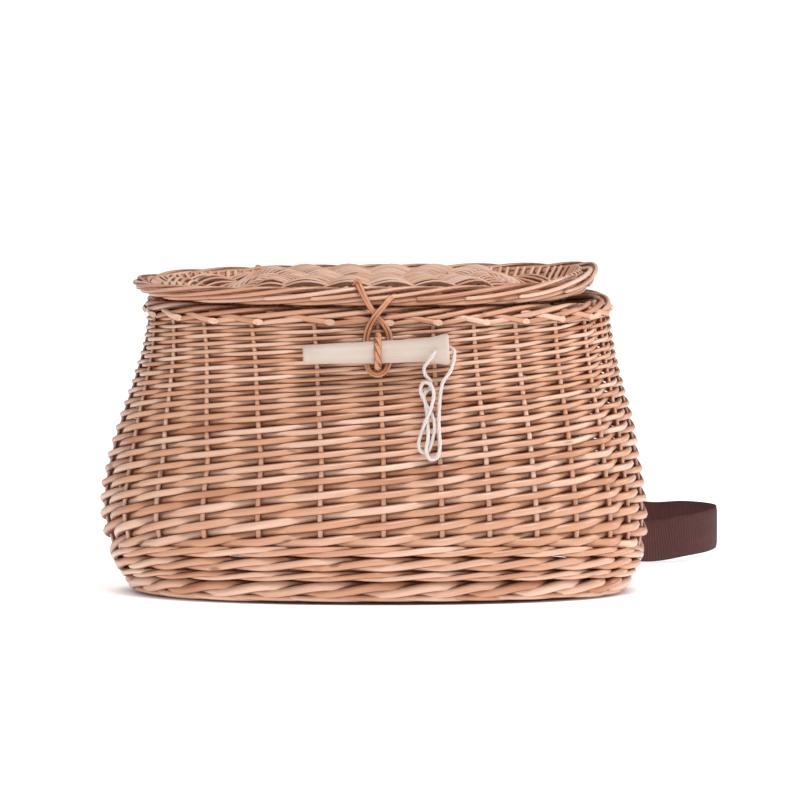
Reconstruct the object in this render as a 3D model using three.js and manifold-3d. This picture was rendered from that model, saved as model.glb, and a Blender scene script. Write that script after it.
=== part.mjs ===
import * as THREE from 'three';
import { LoftGeometry } from 'three/addons/geometries/LoftGeometry.js';
import { mergeVertices } from 'three/addons/utils/BufferGeometryUtils.js';
import Module from 'manifold-3d';

// A fishing creel of woven willow with a hinged lid, a peg closure and a webbing shoulder strap.
// Millimetres, +Z up, the front towards -Y, the origin in the middle of the base's underside.

// Basket
const bodyWidth = 400;
const bodyDepth = 215;
const waleHeight = 45;
const sidingHeight = 158;
const bodyBorderHeight = 13;
const waleThickness = 16;
const sidingThickness = 14;
const bodyBorderThickness = 16;
const bodyBorderStandsProud = 1.5;
const baseThickness = 9;
const frontRoundness = 2.4;
const backRoundness = 3;

// Lid
const lidRest = 1.2;
const lidBorderHeight = 14;
const lidBorderThickness = 13;
const lidPanelThickness = 7;
const lidPanelRise = 8;
const lidCrown = 15.5;
const lidDishTop = 0.5;
const lidMouthClearance = 4;
const lidOverhang = { left: 1.5, right: -16, front: 3, back: -2 };

// Closure
const pegLength = 106;
const pegHeadDiameter = 22.4;
const pegBodyDiameter = 16.6;
const pegDrop = 17.5;
const pegTiltDegrees = 2.3;
const pegOffset = -2;
const pegHoleDiameter = 3.6;
const pegHoleFromHead = 10.2;
const pegSlackBehind = 4.4;
const ringWidth = 6.2;
const ringRadialThickness = 4.4;
const ringCentreX = -0.7;
const ringBite = 8;
const haspWidth = 4.4;
const haspThickness = 1.8;
const haspDropBelowPeg = 17.5;
const haspLoopWidth = 18;
const haspStandOff = 4;
const cordDiameter = 2.8;

// Hinge rings
const hingeRingRadius = 11;
const hingeRingDiameter = 5;
const hingeRingSpread = 176;
const hingeSetback = 5.64;
const hingeClearance = 0.5;

// Shoulder strap
const strapWidth = 30;
const strapThickness = 2;
const strapClearance = 0.8;
const strapDrop = 35;
const strapEndLength = 38;
const strapEndDepth = 16.6;

// Gaps that keep neighbouring pieces apart
const seam = 0.3;
const holeClearance = 0.4;
const overcut = 1;

// How finely round shapes are divided
const columns = 56;
const borderSides = 8;
const ringSides = 8;
const ringSteps = 22;
const cordSides = 8;
const cordSteps = 72;
const haspSteps = 66;
const strapSteps = 84;

const sidingTop = waleHeight + sidingHeight;
const mouthTop = sidingTop + bodyBorderHeight;
const lidBottom = mouthTop + lidRest;
const lidTop = lidBottom + lidBorderHeight;

// The body from the foot up to the mouth, as shares of its height, half width and half depth.
const bodySections = [
  { height: 0.0, left: 0.88, right: 0.885, front: 0.884, back: 0.79 },
  { height: 0.035, left: 0.912, right: 0.912, front: 0.925, back: 0.815 },
  { height: 0.102, left: 0.96, right: 0.95, front: 0.99, back: 0.85 },
  { height: 0.171, left: 0.992, right: 0.972, front: 1.045, back: 0.88 },
  { height: 0.236, left: 1.01, right: 0.98, front: 1.08, back: 0.897 },
  { height: 0.305, left: 1.018, right: 0.976, front: 1.098, back: 0.902 },
  { height: 0.44, left: 0.995, right: 0.955, front: 1.08, back: 0.9 },
  { height: 0.579, left: 0.952, right: 0.927, front: 1.02, back: 0.885 },
  { height: 0.713, left: 0.9, right: 0.887, front: 0.95, back: 0.865 },
  { height: 0.847, left: 0.858, right: 0.854, front: 0.89, back: 0.845 },
  { height: 1.0, left: 0.84, right: 0.834, front: 0.856, back: 0.837 },
];

// The lid's border round the lid, by turn from the right-hand end, anticlockwise from above.
// Height is a share of lidBorderHeight, flare and lift are shares of it too.
const lidBorderRound = [
  { turn: 0, height: 1.38, flare: 0.72, lift: 0.12 },
  { turn: 45, height: 1.1, flare: 0.6, lift: 0.0 },
  { turn: 90, height: 0.95, flare: 0.15, lift: 0.0 },
  { turn: 135, height: 0.8, flare: 0.6, lift: 0.0 },
  { turn: 180, height: 0.74, flare: 0.8, lift: 0.0 },
  { turn: 225, height: 0.9, flare: 0.5, lift: 0.0 },
  { turn: 270, height: 1.0, flare: 0.1, lift: 0.0 },
  { turn: 315, height: 1.08, flare: 0.4, lift: 0.0 },
];

// The peg from its tip to its head, as shares of its length and of the head's diameter.
const pegProfile = [
  { along: 0.0, diameter: 0.5 },
  { along: 0.012, diameter: 0.58 },
  { along: 0.45, diameter: 0.715 },
  { along: 0.78, diameter: 0.741 },
  { along: 0.86, diameter: 0.79 },
  { along: 0.92, diameter: 0.9 },
  { along: 0.955, diameter: 0.975 },
  { along: 0.985, diameter: 1.0 },
  { along: 1.0, diameter: 0.93 },
];

const wasm = await Module();
wasm.setup();

const willow = new THREE.MeshStandardMaterial({ color: 0xcd9c7c, roughness: 0.5, metalness: 0 });
const darkWillow = new THREE.MeshStandardMaterial({ color: 0xbc8164, roughness: 0.55, metalness: 0 });
const turnedWood = new THREE.MeshStandardMaterial({ color: 0xeaded3, roughness: 0.6, metalness: 0 });
const cotton = new THREE.MeshStandardMaterial({ color: 0xf0e8e4, roughness: 0.9, metalness: 0 });
const webbing = new THREE.MeshStandardMaterial({ color: 0x5b3835, roughness: 0.75, metalness: 0 });

// Solids and meshes

function solid(geometry) {
  const bare = new THREE.BufferGeometry();
  bare.setAttribute('position', geometry.getAttribute('position'));
  if (geometry.index) bare.setIndex(geometry.index);
  const merged = mergeVertices(bare, 1e-4);
  return new wasm.Manifold(new wasm.Mesh({
    numProp: 3,
    vertProperties: merged.attributes.position.array,
    triVerts: new Uint32Array(merged.index.array),
  }));
}

function geometryOf(manifold) {
  const mesh = manifold.getMesh();
  const geometry = new THREE.BufferGeometry();
  geometry.setAttribute('position', new THREE.BufferAttribute(mesh.vertProperties, 3));
  geometry.setIndex(new THREE.BufferAttribute(mesh.triVerts, 1));
  geometry.computeVertexNormals();
  return geometry;
}

function namedMesh(name, geometry, material) {
  const mesh = new THREE.Mesh(geometry, material);
  mesh.name = name;
  return mesh;
}

// Interpolation in the tables

function smoothBetween(before, start, end, after, share) {
  const outgoing = (end - before) / 2;
  const incoming = (after - start) / 2;
  const square = share * share;
  const cube = square * share;
  return (2 * cube - 3 * square + 1) * start + (cube - 2 * square + share) * outgoing
    + (3 * square - 2 * cube) * end + (cube - square) * incoming;
}

function bodyShare(column, height) {
  const last = bodySections.length - 1;
  let row = 0;
  while (row < last - 1 && height > bodySections[row + 1].height) row += 1;
  const start = bodySections[row];
  const end = bodySections[row + 1];
  const before = bodySections[Math.max(row - 1, 0)];
  const after = bodySections[Math.min(row + 2, last)];
  const share = (height - start.height) / (end.height - start.height);
  return smoothBetween(before[column], start[column], end[column], after[column], share);
}

function lidBorderShare(column, turn) {
  const count = lidBorderRound.length;
  const place = ((turn / (2 * Math.PI)) % 1) * count;
  const row = Math.floor(place) % count;
  const at = (step) => lidBorderRound[(row + step + count) % count][column];
  return smoothBetween(at(-1), at(0), at(1), at(2), place - Math.floor(place));
}

// Outlines: how far each side of the body or the lid reaches from the origin

function bodyReach(z) {
  const height = z / mouthTop;
  return {
    left: bodyShare('left', height) * bodyWidth / 2,
    right: bodyShare('right', height) * bodyWidth / 2,
    front: bodyShare('front', height) * bodyDepth / 2,
    back: bodyShare('back', height) * bodyDepth / 2,
  };
}

function inset(reach, by) {
  return {
    left: reach.left - by,
    right: reach.right - by,
    front: reach.front - by,
    back: reach.back - by,
  };
}

function outlinePoint(reach, turn, z) {
  const across = Math.cos(turn);
  const deep = Math.sin(turn);
  const power = 2 / (deep > 0 ? backRoundness : frontRoundness);
  const wide = across > 0 ? reach.right : reach.left;
  const far = deep > 0 ? reach.back : reach.front;
  return new THREE.Vector3(
    Math.sign(across) * wide * Math.abs(across) ** power,
    Math.sign(deep) * far * Math.abs(deep) ** power,
    z,
  );
}

function outlineShare(reach, x, y) {
  const power = y > 0 ? backRoundness : frontRoundness;
  const across = Math.abs(x) / (x > 0 ? reach.right : reach.left);
  const deep = Math.abs(y) / (y > 0 ? reach.back : reach.front);
  return (across ** power + deep ** power) ** (1 / power);
}

function turns(count) {
  return Array.from({ length: count }, (_, i) => (2 * Math.PI * i) / count);
}

// Lofts

function stack(levels) {
  const sections = levels.map(({ reach, z }) => turns(columns).map((turn) => outlinePoint(reach, turn, z)));
  return new LoftGeometry(sections, { capStart: true, capEnd: true });
}

function bodyLevels(bottom, top) {
  const between = bodySections
    .map((row) => row.height * mouthTop)
    .filter((z) => z > bottom + overcut && z < top - overcut);
  return [bottom, ...between, top];
}

function bodyShell(bottom, top, thickness) {
  const levels = bodyLevels(bottom, top);
  const outside = levels.map((z) => ({ reach: bodyReach(z), z }));
  const inside = outside.map(({ reach, z }) => ({ reach: inset(reach, thickness), z }));
  inside[0].z -= overcut;
  inside[inside.length - 1].z += overcut;
  return solid(stack(outside)).subtract(solid(stack(inside)));
}

// A ring swept round an outline. sectionAt gives points [outward, up] for a turn.
function outlineRing(reach, z, sectionAt) {
  const small = 1e-3;
  const sections = turns(columns).map((turn) => {
    const place = outlinePoint(reach, turn, z);
    const ahead = outlinePoint(reach, turn + small, z);
    const behind = outlinePoint(reach, turn - small, z);
    const along = ahead.sub(behind).normalize();
    return sectionAt(turn).reverse().map(([outward, up]) => new THREE.Vector3(
      place.x + along.y * outward,
      place.y - along.x * outward,
      place.z + up,
    ));
  });
  sections.push(sections[0]);
  return new LoftGeometry(sections);
}

function roundedSection(width, height, sides) {
  const boxiness = 0.7;
  return turns(sides).map((turn) => {
    const across = Math.cos(turn);
    const up = Math.sin(turn);
    return [
      (width / 2) * Math.sign(across) * Math.abs(across) ** boxiness,
      (height / 2) * Math.sign(up) * Math.abs(up) ** boxiness,
    ];
  });
}

// A flat strip along a curve. Its width lies along widthAt, squared up to the curve.
function strip(curve, width, thickness, steps, widthAt) {
  const sections = [];
  for (let i = 0; i <= steps; i += 1) {
    const share = i / steps;
    const place = curve.getPoint(share);
    const along = curve.getTangent(share);
    const wide = widthAt(share).addScaledVector(along, -along.dot(widthAt(share))).normalize();
    const thick = new THREE.Vector3().crossVectors(along, wide);
    const corners = [[-1, -1], [1, -1], [1, 1], [-1, 1]];
    sections.push(corners.map(([across, through]) => place.clone()
      .addScaledVector(wide, (across * width) / 2)
      .addScaledVector(thick, (through * thickness) / 2)));
  }
  return new LoftGeometry(sections, { capStart: true, capEnd: true });
}

// A closed ring in the YZ plane, through the points that centreAt gives, with an oval section.
function ringAcross(x, centreAt, width, thickness) {
  const sections = turns(ringSteps).map((turn) => {
    const { y, z, outwardY, outwardZ } = centreAt(turn);
    return turns(ringSides).map((round) => {
      const outward = (Math.cos(round) * thickness) / 2;
      return new THREE.Vector3(
        x - (Math.sin(round) * width) / 2,
        y + outwardY * outward,
        z + outwardZ * outward,
      );
    });
  });
  sections.push(sections[0]);
  return new LoftGeometry(sections);
}

// Basket pieces

function makeBase() {
  const levels = [0, baseThickness].map((z) => ({
    reach: inset(bodyReach(z), waleThickness + seam),
    z,
  }));
  return stack(levels);
}

function makeUpsettWale() {
  return geometryOf(bodyShell(0, waleHeight - seam / 2, waleThickness));
}

function makeSiding() {
  const wall = bodyShell(waleHeight + seam / 2, sidingTop - seam / 2, sidingThickness);
  const cutters = [
    pegRingGeometry(holeClearance),
    haspGeometry(seam),
    strapGeometry(strapClearance),
    ...[-1, 1].map((side) => hingeRingGeometry(side, hingeClearance)),
  ];
  return geometryOf(cutters.reduce((left, cutter) => left.subtract(solid(cutter)), wall));
}

function makeBodyBorder() {
  const height = bodyBorderHeight - seam / 2;
  const z = mouthTop - height / 2;
  const reach = inset(bodyReach(z), bodyBorderThickness / 2 - bodyBorderStandsProud);
  const sectionAt = () => roundedSection(bodyBorderThickness, height, borderSides);
  let border = solid(outlineRing(reach, z, sectionAt));
  for (const side of [-1, 1]) border = border.subtract(solid(hingeRingGeometry(side, hingeClearance)));
  return geometryOf(border.subtract(solid(haspGeometry(seam))));
}

// Lid pieces

function lidReach() {
  const mouth = bodyReach(mouthTop);
  return {
    left: mouth.left + lidOverhang.left,
    right: mouth.right + lidOverhang.right,
    front: mouth.front + lidOverhang.front,
    back: mouth.back + lidOverhang.back,
  };
}

// The lid's border leans outwards as it rises, most at the two ends.
function makeLidBorder() {
  const reach = inset(lidReach(), lidBorderThickness / 2);
  const plain = roundedSection(lidBorderThickness, 1, borderSides);
  const ring = outlineRing(reach, lidBottom, (turn) => {
    const height = lidBorderHeight * lidBorderShare('height', turn);
    const flare = lidBorderHeight * lidBorderShare('flare', turn);
    const lift = lidBorderHeight * lidBorderShare('lift', turn);
    return plain.map(([outward, up]) => [
      outward + flare * (up + 0.5),
      lift + height * (up + 0.5),
    ]);
  });
  let border = solid(ring);
  for (const side of [-1, 1]) border = border.subtract(solid(hingeRingGeometry(side, hingeClearance)));
  return geometryOf(border.subtract(solid(haspGeometry(seam))));
}

// How high the lid panel's top stands: crowned along the middle, dished into the mouth at both ends.
function lidPanelTop(x, y) {
  const dishStart = 0.5;
  const dishEnd = 0.8;
  const mouthEdgeStart = 0.78;
  const mouth = inset(bodyReach(mouthTop), bodyBorderThickness + lidMouthClearance);
  const panel = inset(lidReach(), lidBorderThickness + seam);
  const along = Math.abs(x) / (x > 0 ? mouth.right : mouth.left);
  const fall = THREE.MathUtils.smoothstep(along, dishStart, dishEnd);
  const crowned = lidBottom + THREE.MathUtils.lerp(lidCrown, lidDishTop, fall);
  const inMouth = Math.max(outlineShare(mouth, x, y), outlineShare(panel, x, y));
  const edge = THREE.MathUtils.smoothstep(inMouth, mouthEdgeStart, 1);
  return THREE.MathUtils.lerp(crowned, lidBottom + lidPanelRise, edge);
}

function makeLidPanel() {
  const panel = inset(lidReach(), lidBorderThickness + seam);
  const rings = [0, 0.45, 0.66, 0.78, 0.86, 0.93, 1];
  const under = rings.map((share) => new THREE.Vector2(share, 0));
  const over = rings.map((share) => new THREE.Vector2(share, 1)).reverse();
  const disc = new THREE.LatheGeometry([...under, ...over], columns);
  const positions = disc.getAttribute('position');
  for (let i = 0; i < positions.count; i += 1) {
    const corner = new THREE.Vector3().fromBufferAttribute(positions, i);
    const share = Math.hypot(corner.x, corner.z);
    const place = outlinePoint(panel, Math.atan2(-corner.z, corner.x), 0).multiplyScalar(share);
    const top = lidPanelTop(place.x, place.y);
    positions.setXYZ(i, place.x, place.y, top - (1 - corner.y) * lidPanelThickness);
  }
  return geometryOf(solid(disc));
}

// Hinge rings: the lid turns about their shared centre line.

function hingeLine() {
  const mouth = bodyReach(mouthTop);
  const across = hingeRingSpread / 2 / Math.min(mouth.left, mouth.right);
  const edge = mouth.back * (1 - across ** backRoundness) ** (1 / backRoundness);
  return { y: edge + hingeSetback, z: mouthTop + lidRest / 2 };
}

function hingeRingGeometry(side, clearance) {
  const { y, z } = hingeLine();
  const diameter = hingeRingDiameter + 2 * clearance;
  return ringAcross((side * hingeRingSpread) / 2, (turn) => ({
    y: y + hingeRingRadius * Math.cos(turn),
    z: z + hingeRingRadius * Math.sin(turn),
    outwardY: Math.cos(turn),
    outwardZ: Math.sin(turn),
  }), diameter, diameter);
}

// Closure: a peg pushed through a willow ring, over a loop that hangs from the lid

function pegPlace() {
  const z = sidingTop - pegDrop;
  const behind = haspThickness + pegSlackBehind;
  return { z, y: -bodyReach(z).front - behind - pegBodyDiameter / 2 };
}

function makePeg() {
  const profile = pegProfile.map(({ along, diameter }) => new THREE.Vector2(
    (diameter * pegHeadDiameter) / 2,
    along * pegLength,
  ));
  profile.unshift(new THREE.Vector2(0, 0));
  profile.push(new THREE.Vector2(0, pegLength));
  const body = new THREE.LatheGeometry(profile, 24);
  const hole = new THREE.CylinderGeometry(
    pegHoleDiameter / 2,
    pegHoleDiameter / 2,
    pegHeadDiameter + 2 * overcut,
    12,
  );
  hole.rotateZ(Math.PI / 2);
  hole.translate(0, pegLength - pegHoleFromHead, 0);
  const drilled = geometryOf(solid(body).subtract(solid(hole)));
  drilled.translate(0, -pegLength / 2, 0);
  drilled.rotateZ(-Math.PI / 2);
  return drilled;
}

function pegRingGeometry(clearance) {
  const { y, z } = pegPlace();
  const radius = pegBodyDiameter / 2 + holeClearance + ringRadialThickness / 2;
  const wall = -bodyReach(z).front;
  const straight = Math.max(wall + ringBite - radius - y, 0);
  return ringAcross(ringCentreX, (turn) => ({
    y: y + radius * Math.cos(turn) + (Math.cos(turn) > 0 ? straight : 0),
    z: z + radius * Math.sin(turn),
    outwardY: Math.cos(turn),
    outwardZ: Math.sin(turn),
  }), ringWidth + 2 * clearance, ringRadialThickness + 2 * clearance);
}

// The loop's route as seen from the front. Across is a share of haspLoopWidth, out is a share of
// haspStandOff off the surface, and level runs from 0 at the peg's axis to 1 at the top of the lid's
// border and to -1 below the peg.
const haspRoute = [
  { across: -0.972, level: 1.0, out: -1.75 },
  { across: -0.861, level: 1.08, out: -0.5 },
  { across: -0.722, level: 0.98, out: 0.55 },
  { across: -0.444, level: 0.76, out: 0.5 },
  { across: -0.139, level: 0.57, out: 0.3 },
  { across: 0.211, level: 0.4, out: 0.3 },
  { across: 0.411, level: 0.24, out: 0.15 },
  { across: 0.456, level: 0, out: 0.15 },
  { across: 0.411, level: -0.5, out: 0.15 },
  { across: 0.222, level: -0.88, out: 0.15 },
  { across: -0.056, level: -1, out: 0.15 },
  { across: -0.333, level: -0.88, out: 0.15 },
  { across: -0.494, level: -0.5, out: 0.15 },
  { across: -0.528, level: 0, out: 0.15 },
  { across: -0.489, level: 0.24, out: 0.15 },
  { across: -0.361, level: 0.4, out: 0.45 },
  { across: -0.111, level: 0.57, out: 1 },
  { across: 0.167, level: 0.7, out: 0.8 },
  { across: 0.472, level: 0.83, out: 0.15 },
  { across: 0.694, level: 0.86, out: -1.25 },
];

function haspGeometry(clearance) {
  const { z: pegLevel } = pegPlace();
  const borderFront = lidReach().front + lidBorderHeight * 0.05;
  const points = haspRoute.map(({ across, level, out }) => {
    const reach = level < 0 ? haspDropBelowPeg : lidTop - pegLevel;
    const z = pegLevel + level * reach;
    const wall = bodyReach(Math.min(z, sidingTop)).front;
    const onLid = THREE.MathUtils.smoothstep(z, sidingTop, lidBottom);
    const surface = THREE.MathUtils.lerp(wall, borderFront, onLid);
    const standing = haspThickness / 2 + out * haspStandOff;
    return new THREE.Vector3(across * haspLoopWidth, -surface - standing, z);
  });
  const curve = new THREE.CatmullRomCurve3(points, false, 'centripetal');
  const facing = new THREE.Vector3(0, -1, 0);
  const widthAt = (share) => new THREE.Vector3().crossVectors(curve.getTangent(share), facing);
  return strip(
    curve,
    haspWidth + 2 * clearance,
    haspThickness + 2 * clearance,
    haspSteps,
    widthAt,
  );
}

// The peg's cotton cord, out of the front of the hole, down in a folded bundle and up to the hole's back.
const cordRoute = [
  [40.7, -109.4, 187.2],
  [40.7, -117.0, 187.2],
  [40.0, -122.8, 186.0],
  [37.0, -124.2, 181.6],
  [32.8, -121.0, 175.4],
  [33.6, -116.2, 170.0],
  [37.2, -113.4, 164.6],
  [37.0, -113.2, 159.9],
  [33.0, -114.0, 155.8],
  [33.0, -115.2, 150.4],
  [38.4, -116.4, 140.8],
  [40.3, -117.4, 132.1],
  [38.4, -118.6, 121.6],
  [35.4, -119.2, 114.3],
  [30.8, -119.4, 113.9],
  [28.8, -119.2, 118.9],
  [30.4, -119.2, 127.1],
  [33.0, -122.0, 134.4],
  [37.8, -121.6, 146.3],
  [39.6, -119.0, 155.8],
  [37.2, -117.4, 162.8],
  [32.6, -116.2, 164.1],
  [30.0, -116.4, 158.6],
  [33.6, -118.8, 149.4],
  [35.0, -118.3, 136.3],
  [35.6, -121.4, 124.7],
  [34.2, -122.8, 114.7],
  [37.0, -122.6, 109.0],
  [41.6, -121.8, 109.6],
  [44.0, -120.6, 116.1],
  [43.4, -117.6, 136.6],
  [46.0, -114.8, 163.2],
  [51.8, -113.0, 172.0],
  [54.4, -108.0, 180.8],
  [54.0, -100.8, 186.4],
  [49.4, -95.6, 188.0],
  [43.8, -95.2, 187.6],
  [41.0, -98.0, 187.3],
  [40.7, -102.6, 187.2],
  [40.7, -108.6, 187.2],
];

function circleShape(diameter, sides) {
  return new THREE.Shape(turns(sides).map((turn) => new THREE.Vector2(
    (Math.cos(turn) * diameter) / 2,
    (Math.sin(turn) * diameter) / 2,
  )));
}

function makePegCord() {
  const points = cordRoute.map((point) => new THREE.Vector3(...point));
  const extrudePath = new THREE.CatmullRomCurve3(points, false, 'centripetal');
  return new THREE.ExtrudeGeometry(circleShape(cordDiameter, cordSides), {
    steps: cordSteps,
    extrudePath,
  });
}

// Shoulder strap: each end goes in through the back wall, round the stakes inside and out again, and
// lies back on itself. Between them it hangs down behind the basket and stands on its lower edge.

// An end seen from above. Along is a share of strapEndLength round the wall, away from the middle,
// and out is a share of strapEndDepth off the wall's outside.
const strapEnd = [
  { along: -1, out: 0.506 },
  { along: -0.632, out: 0.349 },
  { along: -0.211, out: 0.289 },
  { along: 0.105, out: 0.289 },
  { along: 0.303, out: 0.181 },
  { along: 0.337, out: -0.241 },
  { along: 0.305, out: -0.723 },
  { along: 0.158, out: -1 },
  { along: -0.105, out: -1 },
  { along: -0.263, out: -0.723 },
  { along: -0.305, out: -0.241 },
  { along: -0.368, out: 0.096 },
  { along: -0.632, out: 0.169 },
  { along: -1, out: 0.313 },
];

const strapAnchors = [
  { side: -1, turn: 126 },
  { side: 1, turn: 54 },
];

// The hanging stretch, from the left end to the right end. Across is a share of half the body's width,
// back a share of its depth and level a share of its height.
const strapRun = [
  { across: -0.31, back: 0.493, level: 0.755 },
  { across: -0.18, back: 0.526, level: 0.704 },
  { across: -0.02, back: 0.567, level: 0.611 },
  { across: 0.15, back: 0.614, level: 0.5 },
  { across: 0.33, back: 0.665, level: 0.38 },
  { across: 0.52, back: 0.721, level: 0.259 },
  { across: 0.73, back: 0.781, level: 0.153 },
  { across: 0.96, back: 0.837, level: 0.08 },
  { across: 1.125, back: 0.884, level: 0.094 },
  { across: 1.21, back: 0.958, level: 0.103 },
  { across: 1.238, back: 1.051, level: 0.109 },
  { across: 1.21, back: 1.144, level: 0.109 },
  { across: 1.12, back: 1.228, level: 0.107 },
  { across: 1, back: 1.293, level: 0.097 },
  { across: 0.85, back: 1.321, level: 0.115 },
  { across: 0.71, back: 1.302, level: 0.17 },
  { across: 0.58, back: 1.219, level: 0.26 },
  { across: 0.47, back: 1.116, level: 0.37 },
  { across: 0.38, back: 0.995, level: 0.463 },
  { across: 0.31, back: 0.856, level: 0.565 },
  { across: 0.26, back: 0.707, level: 0.667 },
  { across: 0.27, back: 0.567, level: 0.741 },
  { across: 0.34, back: 0.498, level: 0.773 },
];

function strapEndPoints({ side, turn }) {
  const level = sidingTop - strapDrop;
  const reach = bodyReach(level);
  const angle = THREE.MathUtils.degToRad(turn);
  const small = 1e-3;
  const place = outlinePoint(reach, angle, level);
  const towards = outlinePoint(reach, angle - side * small, level).sub(place).normalize();
  const outward = new THREE.Vector3(-towards.y * side, towards.x * side, 0);
  return strapEnd.map(({ along, out }) => place.clone()
    .addScaledVector(towards, along * strapEndLength)
    .addScaledVector(outward, out * strapEndDepth));
}

function strapGeometry(clearance) {
  const [leftEnd, rightEnd] = strapAnchors.map(strapEndPoints);
  const run = strapRun.map(({ across, back, level }) => new THREE.Vector3(
    (across * bodyWidth) / 2,
    back * bodyDepth,
    level * mouthTop,
  ));
  const points = [...leftEnd, ...run, ...rightEnd.reverse()];
  const curve = new THREE.CatmullRomCurve3(points, false, 'centripetal');
  return strip(
    curve,
    strapWidth + 2 * clearance,
    strapThickness + 2 * clearance,
    strapSteps,
    () => new THREE.Vector3(0, 0, 1),
  );
}

// The assembled creel

const creel = new THREE.Group();

const basket = new THREE.Group();
basket.add(namedMesh('base', makeBase(), willow));
basket.add(namedMesh('upsett_wale', makeUpsettWale(), willow));
basket.add(namedMesh('siding', makeSiding(), willow));
basket.add(namedMesh('body_border', makeBodyBorder(), willow));
basket.add(namedMesh('hinge_ring_left', hingeRingGeometry(-1, 0), darkWillow));
basket.add(namedMesh('hinge_ring_right', hingeRingGeometry(1, 0), darkWillow));
basket.add(namedMesh('peg_ring', pegRingGeometry(0), darkWillow));
basket.add(namedMesh('shoulder_strap', strapGeometry(0), webbing));

const lid = new THREE.Group();
lid.add(namedMesh('lid_panel', makeLidPanel(), willow));
lid.add(namedMesh('lid_border', makeLidBorder(), willow));
lid.add(namedMesh('hasp_loop', haspGeometry(0), darkWillow));

const closure = new THREE.Group();
const peg = namedMesh('peg', makePeg(), turnedWood);
peg.position.set(pegOffset, pegPlace().y, pegPlace().z);
peg.rotation.y = -THREE.MathUtils.degToRad(pegTiltDegrees);
closure.add(peg);
closure.add(namedMesh('peg_cord', makePegCord(), cotton));

creel.add(basket, lid, closure);

export default creel;
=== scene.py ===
"""A woven willow fishing creel with a hinged lid, a peg on a cotton cord and a webbing strap."""
import math
import random

import bmesh
import bpy
from bpy.props import FloatProperty, FloatVectorProperty, IntProperty, PointerProperty
from bpy.types import Operator, Panel, PropertyGroup
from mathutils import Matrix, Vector


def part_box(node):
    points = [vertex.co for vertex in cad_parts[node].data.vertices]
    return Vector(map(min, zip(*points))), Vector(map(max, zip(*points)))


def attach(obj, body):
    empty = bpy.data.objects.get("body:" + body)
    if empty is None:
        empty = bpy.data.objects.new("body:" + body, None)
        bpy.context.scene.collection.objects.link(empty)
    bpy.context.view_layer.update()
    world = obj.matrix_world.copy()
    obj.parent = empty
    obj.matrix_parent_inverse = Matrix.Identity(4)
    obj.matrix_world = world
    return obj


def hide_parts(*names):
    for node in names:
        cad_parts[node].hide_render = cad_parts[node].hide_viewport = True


bl_info = {
    "name": "Willow Creel",
    "version": (1, 0, 0),
    "blender": (4, 5, 0),
    "location": "3D View > Sidebar > Creel",
    "description": "Weaves a willow fishing creel round its packed frame",
    "category": "Object",
}

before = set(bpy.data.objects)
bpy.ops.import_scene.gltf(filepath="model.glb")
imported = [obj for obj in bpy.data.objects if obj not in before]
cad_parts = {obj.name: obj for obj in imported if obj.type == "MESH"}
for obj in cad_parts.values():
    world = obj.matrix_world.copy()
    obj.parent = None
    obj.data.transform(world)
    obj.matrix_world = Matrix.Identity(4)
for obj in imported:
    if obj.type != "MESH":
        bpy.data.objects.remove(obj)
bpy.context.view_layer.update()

MM = 0.001
UP = Vector((0, 0, 1))


# Colours


def rgb(red, green, blue):
    """Screen values from 0 to 255 as the linear colour that Blender works in."""
    shares = [value / 255 for value in (red, green, blue)]
    return tuple(s / 12.92 if s <= 0.04045 else ((s + 0.055) / 1.055) ** 2.4 for s in shares)


# Settings


def metres(name, description, default):
    return FloatProperty(name=name, description=description, default=default, unit="LENGTH")


def amount(name, description, default, unit="NONE"):
    return FloatProperty(name=name, description=description, default=default, unit=unit)


def tint(name, description, *values):
    return FloatVectorProperty(name=name, description=description, subtype="COLOR", default=rgb(*values))


class CreelSizes(PropertyGroup):
    """Sizes that a weaver would choose."""

    body_width: metres("Body width", "Left and right reach are shares of half of this", 400 * MM)
    body_depth: metres("Body depth", "Front and back reach are shares of half of this", 215 * MM)
    mouth_top: metres("Mouth height", "Top of the body's border", 216 * MM)
    siding_top: metres("Siding top", "Where the siding meets the border", 203 * MM)
    wale_top: metres("Wale top", "Top of the upsett wale at the front", 45 * MM)
    siding_fill: amount("Siding fill", "A siding rod's diameter as a share of the rows' pitch", 0.57)
    stake: metres("Stake", "Diameter of the upright stakes at the foot", 4.6 * MM)
    wale_rod: metres("Wale rod", "Diameter of the wale's rods", 5.9 * MM)
    border_rod: metres("Border rod", "Diameter of the rods in both borders", 4.3 * MM)
    lid_rod: metres("Lid rod", "Diameter of the lid's weavers", 3.4 * MM)
    cord: metres("Cord", "Diameter of the peg's cotton cord", 2.8 * MM)
    strap_width: metres("Strap width", "Width of the webbing", 30 * MM)
    strap_thickness: metres("Strap thickness", "Thickness of the webbing", 2 * MM)
    seed: IntProperty(name="Seed", description="Start of every random draw", default=7)


class CreelColours(PropertyGroup):
    """Colours of the materials."""

    willow: tint("Willow", "Buff willow, the usual rod", 204, 151, 119)
    willow_pale: tint("Pale willow", "The palest rods", 226, 190, 168)
    willow_deep: tint("Deep willow", "The darkest rods", 166, 104, 70)
    # Painted shade: this dark colour is painted on the rods' flanks, where shade falls between them.
    crevice_shade: tint("Crevice", "The rods' flanks, where they lie on each other", 96, 26, 6)
    bark: tint("Split willow", "Split and twisted willow of the hasp and the rings", 190, 120, 76)
    peg: tint("Peg", "Turned wood of the peg", 202, 188, 177)
    cord: tint("Cord", "Cotton cord", 216, 206, 200)
    strap: tint("Strap", "Webbing of the shoulder strap", 84, 33, 29)


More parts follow.
